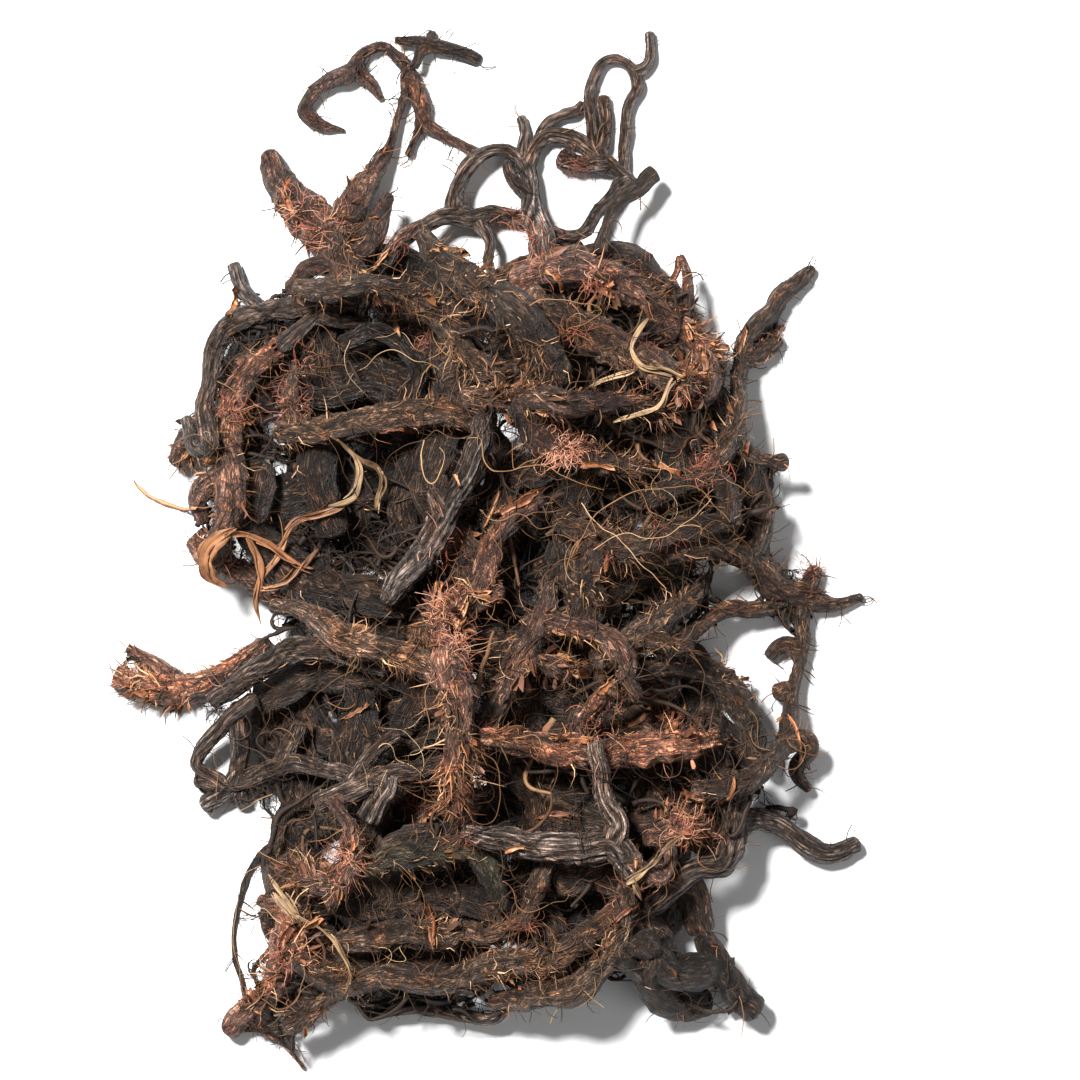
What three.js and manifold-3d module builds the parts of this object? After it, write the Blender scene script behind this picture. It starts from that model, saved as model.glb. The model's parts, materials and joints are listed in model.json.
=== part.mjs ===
// A clump of dried nutgrass rhizomes with their wiry roots and a few dry grass blades, lying on a table.
// Units are millimetres, +Z is up and +Y is the long way of the clump. Each rhizome is one solid with its
// forks, stubs and roots. The rhizomes are laid down one after another, deepest first, and each comes to
// rest on the table and on those already there.
import * as THREE from 'three';
import { mergeVertices } from 'three/addons/utils/BufferGeometryUtils.js';
import Module from 'manifold-3d';

const wasm = await Module();
wasm.setup();

// Driving dimensions
const sampleStep = 3; // spacing of the points along a stem
const restGap = 0.9; // air between two rhizomes where one lies on the other
const footWear = { dark: 0.9 }; // depth of the flat that the table presses into the lowest stems
const droop = 0.25; // fall of a free end for each millimetre of its length
const slackRounds = 60; // rounds of evening out a stem's height between its supports
const bladeThickness = 0.9;
const bladeGap = 0.5;
const bladeRingStep = 9;
const rootRadius = 0.62; // wiry roots at their foot
const rootLength = 17;
const rootGap = 0.95; // air between a wiry root and the rhizomes it passes
const spikeLength = 4.6; // short stiff fibres of the shaggy bark
const spikeRadius = 0.85;
const rootDepth = 0.8; // share of a stem's radius that a root or spike is sunk into it
const rootTaper = 0.35; // share of its radius that a root has lost before its point
const rootWander = 0.9; // widest turn in radians from one length of root to the next
const rootFall = 0.32;
const triesPerRoot = 14; // places tried for each root before it is left out
const tableGap = 0.2;
const endReach = 0.5; // how far a blunt end stands out, as a share of its radius

// The barks: corners round a thick stem, width over thickness, longest way in millimetres from one ring of
// corners to the next, depth of the furrows along the stem and of the swellings and scars across it as a
// share of its radius, and the wiry roots and spikes on each 100 mm of stem. The dark stems at the bottom
// are broad because of the fibres matted to their sides.
const barks = {
  dark: { colour: 0x3d2c22, sides: 5, broad: 1.5, ringStep: 21, furrow: 0, knots: 0.1, roots: 0, spikes: 0 },
  grey: {
    colour: 0x6f6259, sides: 6, broad: 1, ringStep: 15,
    furrow: 0.15, knots: 0.08, roots: 0.8, spikes: 0.3,
  },
  brown: {
    colour: 0x6d4a35, sides: 6, broad: 1, ringStep: 10,
    furrow: 0, knots: 0.15, roots: 1.3, spikes: 1.2,
  },
  red: {
    colour: 0x8a5240, sides: 6, broad: 1, ringStep: 10,
    furrow: 0, knots: 0.18, roots: 1.6, spikes: 2.2,
  },
  olive: {
    colour: 0x6b6350, sides: 6, broad: 1, ringStep: 10,
    furrow: 0, knots: 0.12, roots: 1, spikes: 0.8,
  },
};
const thickStem = 3.2; // stems with a smaller mean radius have four corners round, and wiry ones three
const wiryStem = 1.2;
const sharpestBend = 0.5; // turn in radians at which a stem gets a ring of corners early
const roughness = 0.08; // unevenness of the corners, as a share of the radius
const bladeColours = { orange: 0xc4803c, straw: 0xc3a577 };

// Each stem is a list of [x, y, radius] as seen from above. The second and later stems of a rhizome fork
// from an earlier one, at the point nearest to their start. A stem named in cut ends in a flat broken face.
const rhizomes = [
  { name: 'rhizome_under_upper_left', bark: 'dark', stems: [
    [[-88.3, 56, 4], [-66.7, 58, 5], [-46.7, 62.7, 5], [-23.3, 65, 5], [-5, 59.3, 4]],
    [[-63.3, 58.7, 4.3], [-57.3, 41.7, 4.3], [-63.3, 20.7, 3.3]],
    [[-31.7, 64.3, 4.3], [-30, 76.7, 3.7], [-39.3, 85, 3]],
    [[-83.3, 56.3, 3.7], [-86, 43.3, 3.7], [-83.3, 30, 3.7], [-86, 16.7, 3]],
  ] },
  { name: 'rhizome_under_upper_right', bark: 'dark', stems: [
    [[3.3, 62.7, 4.3], [23.3, 68.3, 5.3], [44, 65, 5.3], [63.3, 56, 5], [78, 42.7, 3.7]],
    [[36.7, 66.7, 4.3], [40.7, 80, 4], [30, 92.7, 3]],
    [[53.3, 61, 4.3], [54, 43.3, 4.3], [46, 26, 3.3]],
  ] },
  { name: 'rhizome_under_mid_left', bark: 'dark', stems: [
    [[-92.7, 18, 3.7], [-73.3, 12.7, 5], [-52.7, 16, 5], [-32.7, 20.7, 4.7], [-18, 33.3, 3.3]],
    [[-66.7, 13.3, 4.3], [-68.7, -4, 4.3], [-59.3, -22, 3.7]],
    [[-48, 16.7, 3.7], [-44.7, 5, 3.7], [-37.3, -4, 3.5], [-27.3, -12.7, 3.3], [-16.7, -20.7, 3]],
  ] },
  { name: 'rhizome_under_mid_right', bark: 'dark', stems: [
    [[74, 26, 3.7], [55, 19.3, 5], [35.3, 20.7, 5], [18.3, 13.3, 4.7], [10, -3.3, 3.7]],
    [[55, 19.3, 4.3], [60.7, 2.7, 4.3], [55, -16.7, 3.7]],
    [[36.7, 20.7, 4.3], [38.7, 3.3, 4.3], [33.3, -15, 3.3]],
  ] },
  { name: 'rhizome_under_low_left', bark: 'dark', stems: [
    [[-71.7, -50, 3.7], [-59.3, -65, 5], [-63.3, -85, 5], [-66.7, -103.3, 4.7], [-61.7, -125, 4.7],
     [-52.7, -144, 3.7]],
    [[-61.3, -73.3, 4.3], [-46, -66.7, 4.3], [-31.7, -55, 3.3]],
    [[-65.3, -96.7, 4.3], [-48.3, -91.7, 4.3], [-32.7, -94, 3.3]],
    [[-66, -100.7, 0.73], [-76, -104, 0.6], [-82, -113.3, 0.6], [-85, -126.7, 0.57],
     [-85.7, -140, 0.57], [-83, -150, 0.57], [-82.3, -156, 0.53]],
    [[-70.7, -51.7, 3.7], [-76, -63.3, 3.7], [-68.7, -76, 3.3]],
  ] },
  { name: 'rhizome_under_low_centre', bark: 'dark', stems: [
    [[-12.7, -55, 4], [-23.3, -72.7, 5], [-24, -91.7, 5], [-29.3, -113.3, 5], [-21.7, -135, 4.7],
     [-1.7, -148.3, 3.7]],
    [[-24, -86.7, 4.3], [-6.7, -91.7, 4.3], [10, -86.7, 3.7]],
    [[-27.3, -121.7, 4.3], [-11.7, -120, 4.3], [5, -115, 3.7]],
    [[-23.3, -72.7, 4], [-10, -68, 4], [3.3, -74, 3.7]],
  ] },
  { name: 'rhizome_under_low_right', bark: 'dark', stems: [
    [[50, -50, 4.3], [59.3, -68.3, 5], [53.3, -91.7, 5.3], [61.7, -111.7, 5], [53.3, -130, 4.7],
     [36.7, -140, 4]],
    [[54.7, -83.3, 4.7], [71.7, -88.3, 4], [80, -96.7, 3]],
    [[58, -105, 4.3], [36.7, -121.7, 4.3], [19.3, -128.3, 3.7]],
    [[59.3, -68.3, 4], [70, -54, 4], [66.7, -37.3, 3.7]],
    [[66.7, -60, 4], [81.3, -68.7, 3.7], [85, -83.3, 3]],
  ] },
  { name: 'rhizome_under_centre', bark: 'dark', stems: [
    [[-50, -38.3, 4], [-29.3, -27.3, 4.7], [-6.7, -29.3, 5], [16.7, -33.3, 5], [38.3, -42.7, 5],
     [57.3, -50, 3.7]],
    [[-6.7, -29.3, 4.3], [3.3, -13.3, 4], [0.7, 3.3, 3.3]],
    [[23.3, -35.3, 4.3], [23.3, -19.3, 4], [18.3, -6.7, 3.3]],
    [[-20, -28, 4.3], [-21.7, -43.3, 4], [-30, -57.3, 3.3]],
  ] },
  { name: 'rhizome_inner_upper_left', bark: 'dark', stems: [
    [[-52.7, 83.3, 3.7], [-56, 63.3, 4.3], [-53.3, 43.3, 4.3], [-57.3, 23.3, 4], [-51.7, 3.3, 3.3]],
    [[-55, 53.3, 3.7], [-40, 56, 3.3], [-25, 51.7, 3]],
    [[-53.3, 43.3, 3.7], [-37.3, 38.7, 3.7], [-24, 30, 3.7], [-30, 13.3, 3.3], [-27.3, 0, 3]],
  ] },
  { name: 'rhizome_inner_upper_centre', bark: 'dark', stems: [
    [[-13.3, 82.7, 3.7], [-16.7, 63.3, 4.3], [-14, 43.3, 4.3], [-20, 23.3, 3.7]],
    [[-15.7, 54, 3.7], [0, 56, 3.3], [13.3, 49.3, 3]],
    [[-14, 43.3, 4], [-2.7, 33.3, 4.3], [4, 20, 4.3], [2.7, 3.3, 4]],
    [[4, 20, 4], [16.7, 23.3, 3.7], [23.3, 34, 3.3]],
    [[-20, 23.3, 3.7], [-16.7, 6.7, 4], [-7.3, -6.7, 4], [-3.3, -20.7, 3.3]],
    [[-13.3, 80, 3.7], [-23.3, 90, 3.7], [-36, 92, 3.7], [-46, 88, 3.3]],
    [[-13.3, 80, 3.7], [3.3, 84.7, 3.7], [16.7, 92, 3.3], [30, 96.7, 3]],
  ] },
  { name: 'rhizome_inner_upper_right', bark: 'dark', stems: [
    [[23.3, 80, 4], [28.3, 60, 4.3], [23.3, 40, 4.3], [30, 20, 4], [25, 0, 3.3]],
    [[25.7, 50, 4], [43.3, 46.7, 3.7], [58.3, 33.3, 3.3]],
    [[25, 0, 3.7], [27.3, -16.7, 4], [36, -30.7, 3.7]],
    [[24, 76.7, 4], [34, 91.3, 4], [46.7, 92, 4], [57.3, 83.3, 3.7], [66.7, 69.3, 3.3]],
  ] },
  { name: 'rhizome_inner_right', bark: 'dark', stems: [
    [[66.7, 46.7, 3.7], [62, 30, 4.3], [66.7, 10, 4], [60.7, -10, 3.7], [53.3, -26.7, 3.3]],
    [[64.7, 36.7, 3.7], [77.3, 32.7, 4], [85.3, 20, 4], [89, 6.7, 3.7], [85.3, -3.3, 3]],
    [[66.7, 11.7, 3.7], [76, 10.7, 4], [81.7, 16.7, 3.3]],
    [[60.7, -10, 3.7], [46.7, -11.7, 3.7], [36.7, -20, 3.7], [30.7, -33.3, 3.3]],
  ] },
  { name: 'rhizome_inner_left', bark: 'dark', stems: [
    [[-76.7, 24, 3.7], [-79.3, 4, 4], [-64, -10.7, 4.3], [-46.7, -17.3, 4], [-29.3, -20, 3.7]],
  ] },
  { name: 'rhizome_inner_low_left', bark: 'dark', stems: [
    [[-53.3, -36.7, 3.7], [-43.3, -53.3, 4], [-46.7, -73.3, 4.3], [-39.3, -93.3, 4.3],
     [-43.3, -113.3, 3.7]],
    [[-45.3, -63.3, 3.7], [-30, -68.3, 3.3], [-16.7, -63.3, 3]],
    [[-49.3, -44, 3.7], [-62.7, -46.7, 3.7], [-76, -54, 3.3]],
    [[-49.3, -44, 3.7], [-33.3, -44, 3.7], [-23.3, -50.7, 3.3], [-29.3, -62.7, 3.3]],
  ] },
  { name: 'rhizome_inner_low_centre', bark: 'dark', stems: [
    [[5, -33.3, 3.7], [13.3, -53.3, 4.3], [10, -73.3, 4.3], [18.3, -91.7, 4.3], [13.3, -113.3, 4],
     [20, -133.3, 3.7]],
    [[12.3, -81.7, 3.7], [28.3, -83.3, 3.7], [43.3, -76.7, 3.3]],
    [[10.7, -46.7, 3.7], [26.7, -53.3, 3.7], [44, -61.7, 4], [63.3, -66.7, 4], [77.3, -78.3, 3.3]],
    [[5, -33.3, 3.7], [-6, -37.3, 3.7], [-16, -50, 3.7], [-6.7, -62.7, 3.3]],
    [[11.3, -68.3, 3.7], [26.7, -65.3, 3.7], [40.7, -70.7, 3.7], [54, -64.7, 3.3]],
    [[18.3, -91.7, 4], [33.3, -94, 4], [47.3, -97.3, 4], [63.3, -94, 3.7], [75.3, -103.3, 3.3]],
  ] },
  { name: 'rhizome_inner_bottom_left', bark: 'dark', stems: [
    [[-73.3, -130, 3.7], [-53.3, -120, 4], [-36.7, -121.7, 4], [-16.7, -120, 4], [3.3, -122.7, 3.7]],
    [[-36.7, -121.7, 3.7], [-34.7, -107.3, 3.7], [-20, -100.7, 3.7], [-3.3, -106.7, 3.7],
     [0, -120, 3.3]],
    [[-71.7, -129.3, 3.7], [-68.3, -118.3, 3.7], [-71.3, -109.3, 3]],
    [[-63.3, -125, 3.7], [-56.7, -136.7, 4], [-60, -150, 3.7], [-68.3, -157.3, 3]],
    [[-56.7, -136, 3.7], [-40, -140.7, 3.7], [-23.3, -142, 3.7], [-6.7, -140, 3.7],
     [10, -145.3, 3.3], [24, -148.7, 3.3]],
  ] },
  { name: 'rhizome_inner_bottom_right', bark: 'dark', stems: [
    [[23.3, -113.3, 4], [40, -110, 4], [50, -126.7, 4], [57.3, -140, 3.7]],
    [[36.7, -111, 4], [53.3, -113.3, 4], [66.7, -116.7, 3.7], [70.7, -130, 3.3]],
    [[50, -126.7, 4], [36.7, -132, 4], [25, -140.7, 3.7]],
  ] },
  { name: 'rhizome_bottom_edge', bark: 'grey', stems: [
    [[-39.3, -158.3, 3.3], [-30.7, -156.7, 3], [-19.3, -157.7, 2.7], [-7.3, -160, 2.3],
     [1.3, -160.3, 2.2], [8, -153.3, 1.8], [16.7, -148.3, 1.7]],
  ] },
  { name: 'rhizome_bottom_round_end', bark: 'brown', stems: [
    [[1.7, -154, 3], [15, -152, 4.3], [28.3, -150, 5], [37.3, -141.7, 4.3], [44, -130, 3.7],
     [46, -116.7, 3]],
  ] },
  { name: 'rhizome_lower_right_fork', bark: 'dark', stems: [
    [[50, -133.3, 3], [59.3, -143.3, 4], [68.3, -144, 4], [77.3, -144, 3.3], [83.3, -152, 3],
     [88.3, -157.3, 3.5]],
    [[78, -145.3, 2.7], [74, -137.3, 3], [71, -132.7, 2.3]],
    [[55, -138.3, 2.7], [51.7, -146, 2.7], [57.3, -153.3, 3.3], [66.7, -157.3, 2.8],
     [73.3, -157, 1.7]],
    [[51.7, -146, 2], [44, -139, 1.8]],
    [[62.7, -155.3, 2.3], [72, -153.3, 1.7]],
  ] },
  { name: 'rhizome_right_lower_arm', bark: 'grey', stems: [
    [[55, -121.7, 3.7], [66.7, -110.7, 4], [78, -107.3, 3.7], [82, -97.3, 4], [82.7, -86.7, 4],
     [87.3, -79.3, 3.7]],
    [[82.3, -94, 3.3], [90.7, -93.3, 3.7], [99.3, -96.7, 3.5], [106.7, -102.7, 3.5],
     [115, -105.3, 3.3], [122.7, -102.3, 2.8]],
  ] },
  { name: 'rhizome_right_knee', bark: 'brown', stems: [
    [[50, -44, 4], [63.3, -42, 4.3], [74, -45.3, 4.7], [82.7, -53.3, 4.7], [87.3, -62.7, 4.3],
     [88.7, -72, 3.7]],
  ] },
  { name: 'rhizome_right_upper_stick', bark: 'brown', stems: [
    [[74, 23.3, 3.7], [81.7, 36, 3.7], [83, 48, 2.7], [84, 59.3, 2.7], [86.7, 68.3, 3],
     [94, 76.7, 3.2], [100.7, 84.3, 3], [108.3, 91, 1.5]],
    [[84.7, 60.7, 2.7], [90.7, 63.3, 3], [96.7, 67.3, 2]],
    [[81.7, 34, 3], [87.3, 28, 2.7], [92.7, 26, 2.3], [98, 26.3, 2.7]],
  ] },
  { name: 'rhizome_right_arm', bark: 'brown', stems: [
    [[36.7, -8.3, 3.7], [53.3, -5.3, 4.3], [70.7, -1.7, 4.7], [86, -5.3, 5], [95, -15, 4.7],
     [105, -20, 4], [116, -22, 2.2], [124.7, -19.3, 1.3]],
    [[86.7, -5.3, 4.3], [91.3, 4, 4.3], [92.7, 13.3, 3]],
    [[105, -18, 3], [109.3, -10.7, 3]],
    [[105.3, -21.3, 3], [105, -33.3, 2.3], [104, -42.7, 2], [102, -50.7, 2.3], [100.7, -59.3, 2.5],
     [98, -68.3, 3.3], [91.7, -76, 4], [83.3, -82, 4], [70, -83.3, 3.7]],
    [[104.7, -36.7, 2], [98.3, -35.3, 2.7], [94.3, -38.7, 2]],
    [[102, -50, 2.3], [97, -51.3, 3]],
    [[98, -68.3, 2.7], [104.3, -67, 3.2], [107.3, -70.7, 2.7], [102.3, -76, 2.7],
     [106.7, -83.3, 1.7]],
    [[99.3, -18, 2.3], [94.7, -22, 2.2], [87.3, -23.3, 2.3], [80, -23.7, 2.5], [70, -28.7, 2.7],
     [56.7, -37.3, 2.7]],
  ] },
  { name: 'rhizome_left_low', bark: 'grey', cut: [0], stems: [
    [[-98, -81, 2.3], [-86, -82, 2.7], [-74, -77.3, 3], [-63.3, -74.7, 3], [-50.7, -77.3, 3],
     [-39.3, -83.3, 3]],
    [[-89.3, -81.7, 2.3], [-93.3, -79.3, 2], [-98.7, -75, 2.2], [-95.3, -68.7, 2.5],
     [-88, -60.7, 2.7], [-79.3, -53.3, 2.7]],
    [[-85.3, -82, 2.3], [-84, -76, 2.7], [-83.3, -67.3, 3.3], [-84, -56, 3]],
    [[-75.3, -78, 2.7], [-88, -85, 2.7], [-95, -88.7, 3.3]],
    [[-84.7, -83.3, 2], [-83.3, -87.7, 2.7]],
    [[-70, -76, 2.7], [-66.7, -70, 3.3], [-64, -62.7, 3]],
  ] },
  { name: 'rhizome_left_end_club', bark: 'red', cut: [0, 1], stems: [
    [[-76, -35, 2.3], [-85, -41.3, 3], [-95, -47.3, 3], [-105, -50, 4.3], [-115, -49.3, 4.5],
     [-126, -46, 3.3]],
    [[-104, -48, 2.7], [-113.3, -41.3, 2.3], [-122, -36.3, 1.8]],
  ] },
  { name: 'rhizome_left_plank', bark: 'grey', cut: [0], stems: [
    [[-35, -42.7, 3], [-50, -37.3, 3.7], [-63.3, -36.7, 4], [-76, -42.3, 4], [-86, -49.7, 3.3],
     [-93, -54, 2.7]],
  ] },
  { name: 'rhizome_left_red_vertical', bark: 'red', stems: [
    [[-67.3, 66, 3], [-77.3, 58.3, 4], [-85.3, 47.3, 4.7], [-87.3, 33.3, 5], [-84.7, 18.3, 4.7],
     [-88.3, 3.3, 3.7], [-93.3, -5.3, 4.3], [-99, -1, 2.7]],
    [[-92, -4, 3], [-82.3, -11.7, 3.7], [-71.7, -19.3, 2.7]],
    [[-86.7, 40, 3.3], [-94.7, 38, 4], [-101.3, 32.7, 4], [-105.3, 26.7, 2.7]],
    [[-85.7, 22.7, 3.3], [-92.7, 19.3, 3.3], [-97.3, 13.3, 3], [-95.7, 6.7, 2.3]],
  ] },
  { name: 'rhizome_left_dark_bend', bark: 'grey', cut: [1], stems: [
    [[-46, 80, 3], [-60, 78.7, 3.3], [-74, 76, 3.8], [-86, 72.3, 4.2], [-91.7, 65, 3.5],
     [-93, 55, 3.3], [-95, 44, 3.2], [-92.7, 30.7, 3.7]],
    [[-75.3, 75.7, 2.3], [-80, 80.7, 2.3], [-84, 86.3, 2.2], [-86.3, 92.7, 2]],
    [[-93.3, 33.3, 2.7], [-97.3, 30.7, 3], [-100.7, 40, 2]],
    [[-51.7, 79.3, 2.3], [-61.3, 71.3, 2.8], [-68.7, 64.7, 2.7]],
    [[-56, 75, 2.3], [-48.7, 72.7, 2.3], [-40.7, 72.7, 2.3]],
  ] },
  { name: 'rhizome_upper_left_crown', bark: 'red', stems: [
    [[-74, 128.7, 3.3], [-71.3, 122, 4], [-66.7, 114, 5.7], [-59.3, 106, 6.7], [-50, 95.3, 5.7],
     [-45, 83.3, 4.3]],
    [[-53.3, 99.3, 4.7], [-46.7, 109.3, 5], [-42.7, 118, 4.3], [-36.7, 126.7, 3], [-33.3, 134, 1.7],
     [-31.3, 141.3, 1.2], [-28.7, 150, 1.5], [-28, 159.3, 1.7]],
    [[-46.7, 88.3, 3], [-58, 90.7, 3], [-66, 84, 2.7]],
    [[-48.7, 92.7, 3.3], [-40, 100, 3.7], [-36.7, 109.3, 2.7], [-34, 114.7, 2]],
    [[-28, 158, 1.7], [-30, 161.3, 2], [-36, 166, 1.8], [-43.3, 163.3, 2.2], [-46.7, 157.3, 3.2],
     [-55, 154.3, 2.3], [-60.7, 148.3, 2], [-62.3, 143.3, 2.5], [-55.3, 139.7, 1.7],
     [-49.3, 137.7, 0.6]],
    [[-46, 158, 2.3], [-40.3, 153.3, 2.2], [-37, 149, 1.3]],
    [[-28.7, 159.3, 2], [-25.3, 154, 2.5], [-22.7, 146.7, 2.8], [-21.7, 140, 2.2],
     [-15.3, 136.3, 2], [-8.7, 132.3, 1.7], [-2.7, 128.7, 2]],
    [[-22.3, 142, 2], [-25.3, 135.3, 1.3], [-27.3, 130, 1.5]],
  ] },
  { name: 'rhizome_top_stick', bark: 'dark', stems: [
    [[-31.3, 168, 1], [-20, 166.7, 1.5], [-11.7, 164.7, 1.5], [-4, 161.7, 1.5]],
    [[-20, 166.7, 1.2], [-22.3, 164.7, 1.3], [-25.3, 159, 1]],
    [[-20, 166.7, 1.2], [-19.3, 170.7, 1]],
  ] },
  { name: 'rhizome_great_arch', bark: 'grey', stems: [
    [[-34.7, 92.7, 3], [-29.3, 100, 3], [-20.7, 106, 2.8], [-11.7, 109, 3.3], [-4, 108, 3.2],
     [2, 109.7, 2.7], [10, 108, 2.7]],
    [[-12, 109.3, 3], [-11, 116.7, 2.7], [-8, 124, 2.7], [-2.7, 129.3, 2.3], [3.3, 131.3, 2.2],
     [8.7, 129.3, 2.2], [12.3, 125.3, 2.3]],
    [[-4, 106.7, 2.3], [0.3, 100, 1.8], [-0.7, 94, 1.7], [0.7, 88, 1.3]],
    [[11.7, 127.3, 2.3], [13.3, 120, 2.7], [14, 112, 3.3], [17.3, 101.3, 4.3], [19.3, 92, 4.7],
     [23.3, 80, 4.3]],
    [[13.3, 116.7, 2.7], [8, 120, 2.3], [5.7, 126.7, 1.7]],
    [[11.7, 126.7, 2], [11.3, 131.3, 2], [12.3, 136.7, 1.8], [10.7, 141.7, 1.7]],
    [[12.3, 125.7, 2.2], [15.7, 132.3, 2.5], [21, 136, 2.5], [28.7, 134.7, 2.7], [36, 129.7, 2.7],
     [42.7, 124, 2.8], [49, 119, 2]],
    [[45.3, 120.7, 2.7], [40, 114.3, 2.2], [36, 110, 2], [32.7, 104, 2.2], [27.3, 101.7, 2],
     [21.7, 103.3, 1.7]],
    [[38.7, 127.3, 2.7], [32, 126, 2.7], [25.3, 128, 4]],
    [[15.3, 131.3, 1.5], [18.7, 139.3, 1.7], [24, 142.7, 1.7], [28.7, 144, 2], [30.7, 146.7, 1.3]],
    [[36.7, 129.3, 2.3], [34.3, 139.3, 2], [33.3, 148.3, 1.8], [35.3, 156.7, 2], [39.3, 161.3, 1.8],
     [44, 161, 1.8], [48.3, 157.3, 2], [49.3, 151.3, 1.8], [46.7, 145.3, 1.8], [46, 138, 2],
     [44.7, 130.7, 1.8], [45.7, 122.7, 1.8]],
    [[48, 157.7, 1.7], [52.7, 159, 1.8], [54, 164, 1.7], [53.7, 170, 1.7]],
    [[36.7, 130, 2.3], [38.7, 139.3, 2.2], [38.3, 148.3, 2]],
  ] },
  { name: 'rhizome_right_top_stick', bark: 'dark', stems: [
    [[55, 122.7, 1.7], [50, 118, 1.8], [43.3, 112.3, 1.7], [39, 106, 1.5], [36.7, 96.7, 1.7]],
  ] },
  { name: 'rhizome_upper_mat_left', bark: 'brown', stems: [
    [[-63.3, 83.3, 2.7], [-51.7, 82.7, 3.7], [-38.3, 84.7, 4], [-26, 79.3, 4.3], [-14, 71.3, 4.3],
     [-6.7, 60, 4.3], [3.3, 52.7, 4]],
  ] },
  { name: 'rhizome_upper_mid', bark: 'grey', stems: [
    [[-48.3, 65, 3], [-38.3, 70, 3], [-28.3, 64, 3], [-23.3, 56, 3.3], [-29.3, 47.3, 3],
     [-39.3, 50, 3], [-53.3, 47.3, 3.3], [-63.3, 49.3, 3]],
  ] },
  { name: 'rhizome_upper_red_mass', bark: 'red', stems: [
    [[10, 86, 4.3], [22.7, 89.3, 4.7], [35.3, 88.7, 5.3], [47.3, 83.3, 4.7], [59.3, 74, 4.3],
     [68.7, 65.3, 4], [74, 56, 4], [70, 46.7, 3.3]],
    [[60.7, 72.7, 2.7], [64.7, 76.7, 3], [66.7, 82.7, 2], [65.7, 89.3, 1.7], [64, 94.7, 1]],
    [[64.3, 93.3, 1], [60, 86.7, 1], [56.3, 83, 0.6]],
    [[70, 63.3, 3], [76.3, 62.7, 3.2]],
  ] },
  { name: 'rhizome_upper_thick_right', bark: 'brown', stems: [
    [[14, 79.3, 4.7], [27.3, 71.7, 6], [40.7, 64, 6], [54, 58, 5], [66.7, 50.7, 4]],
  ] },
  { name: 'rhizome_upper_thick', bark: 'brown', stems: [
    [[-21.7, 100.7, 3], [-16.7, 94, 4.3], [-6, 85.3, 5.7], [7.3, 76, 6.3], [16.7, 65, 6],
     [22, 53.3, 5]],
  ] },
  { name: 'rhizome_cross_left', bark: 'brown', stems: [
    [[-69, 36, 4], [-56, 36.7, 4.5], [-42.7, 38.7, 4.5], [-29.3, 41.3, 4.5], [-15, 42, 4.3],
     [0, 40, 3.7]],
    [[-64.7, 36.7, 2.7], [-66, 46.7, 2.7], [-64, 56.7, 2]],
  ] },
  { name: 'rhizome_cross_right', bark: 'red', stems: [
    [[-7.3, 47, 3.3], [10, 46.7, 4], [27.3, 45.3, 4], [45, 45.3, 3.5], [59.3, 40.7, 3]],
    [[10, 46.7, 3.3], [14, 36.7, 4], [23.3, 30.7, 5], [34, 26, 4], [50, 23.3, 3.3]],
  ] },
  { name: 'rhizome_grey_grooved', bark: 'grey', stems: [
    [[-33.3, -19, 3.7], [-30, -13.3, 4.2], [-23, -6, 4.3], [-17.3, 2.3, 4.3], [-12.7, 11.7, 4],
     [-8, 20.7, 3.7], [-3.7, 30.7, 3.7], [-2, 40, 3]],
    [[-14.7, 8, 3.3], [-18.7, 15.3, 2.7]],
  ] },
  { name: 'rhizome_olive_mat', bark: 'brown', stems: [
    [[23.3, 6, 3.3], [34, 1.3, 4.3], [46, -2.7, 4.3], [57.3, 1.3, 4], [70, 4.7, 3.7], [81.7, 6.7, 3]],
    [[36.7, 0, 3.3], [32.7, -11.7, 3.7], [36.7, -20, 3]],
    [[80, 6.7, 3], [77.3, 18, 4], [66.7, 20, 4], [53.3, 13.3, 3.3]],
  ] },
  { name: 'rhizome_mid_right_stub', bark: 'brown', cut: [1], stems: [
    [[36, -40, 3.3], [46, -34, 4.3], [56, -27.3, 4.7], [64.7, -22, 4], [69.3, -17.3, 3]],
    [[50, -31.3, 3], [59.3, -34.7, 3], [67.3, -36, 3]],
  ] },
  { name: 'rhizome_diagonal_red', bark: 'red', cut: [1], stems: [
    [[20.7, -16.7, 3], [16.7, -27.3, 4], [11.3, -37.3, 4.3], [5.3, -48, 4.2], [0.7, -57.3, 3.7],
     [-3.3, -66.7, 3]],
    [[10.7, -38, 3], [16, -40, 3], [22, -42.3, 3.7], [27.3, -44.7, 4]],
    [[16.7, -26.7, 3], [27.3, -28.7, 3.7], [36.7, -31.3, 3.3], [42.7, -37.3, 3.8],
     [45.7, -44.7, 3.7], [48.7, -51.3, 2.3]],
  ] },
  { name: 'rhizome_left_mid_shaggy', bark: 'brown', stems: [
    [[-71.7, -22, 2.7], [-60, -24, 3.3], [-51.3, -30.7, 4.2], [-40.7, -35.7, 4.7],
     [-29.3, -38, 4.5], [-19.3, -42.7, 4], [-11.3, -50, 3.3]],
  ] },
  { name: 'rhizome_low_grooved', bark: 'grey', cut: [2], stems: [
    [[-56, -87.3, 3], [-46.7, -83.3, 3.7], [-35, -79, 3.8], [-23.3, -76.7, 3.5], [-12.7, -74, 3]],
    [[-46.7, -82.7, 2.7], [-39.3, -71.3, 2.7], [-31.3, -65.3, 2.3]],
    [[-32.7, -78.7, 3.3], [-36.7, -86, 3.8], [-40.3, -92.7, 3.8]],
  ] },
  { name: 'rhizome_big_pink', bark: 'red', cut: [1, 2], stems: [
    [[-3.3, -65, 3.3], [8.3, -67, 4.5], [21.7, -69.3, 4.8], [35, -71.7, 5], [48.3, -70, 5.7],
     [62.7, -69, 5.2], [74.7, -66, 3]],
    [[27.3, -68.3, 3], [29.3, -60.7, 2.3], [31.3, -56, 2]],
    [[29.7, -59.3, 2], [34.7, -53.3, 2.3], [41, -49.3, 2.5]],
  ] },
  { name: 'rhizome_centre_post', bark: 'red', stems: [
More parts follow.
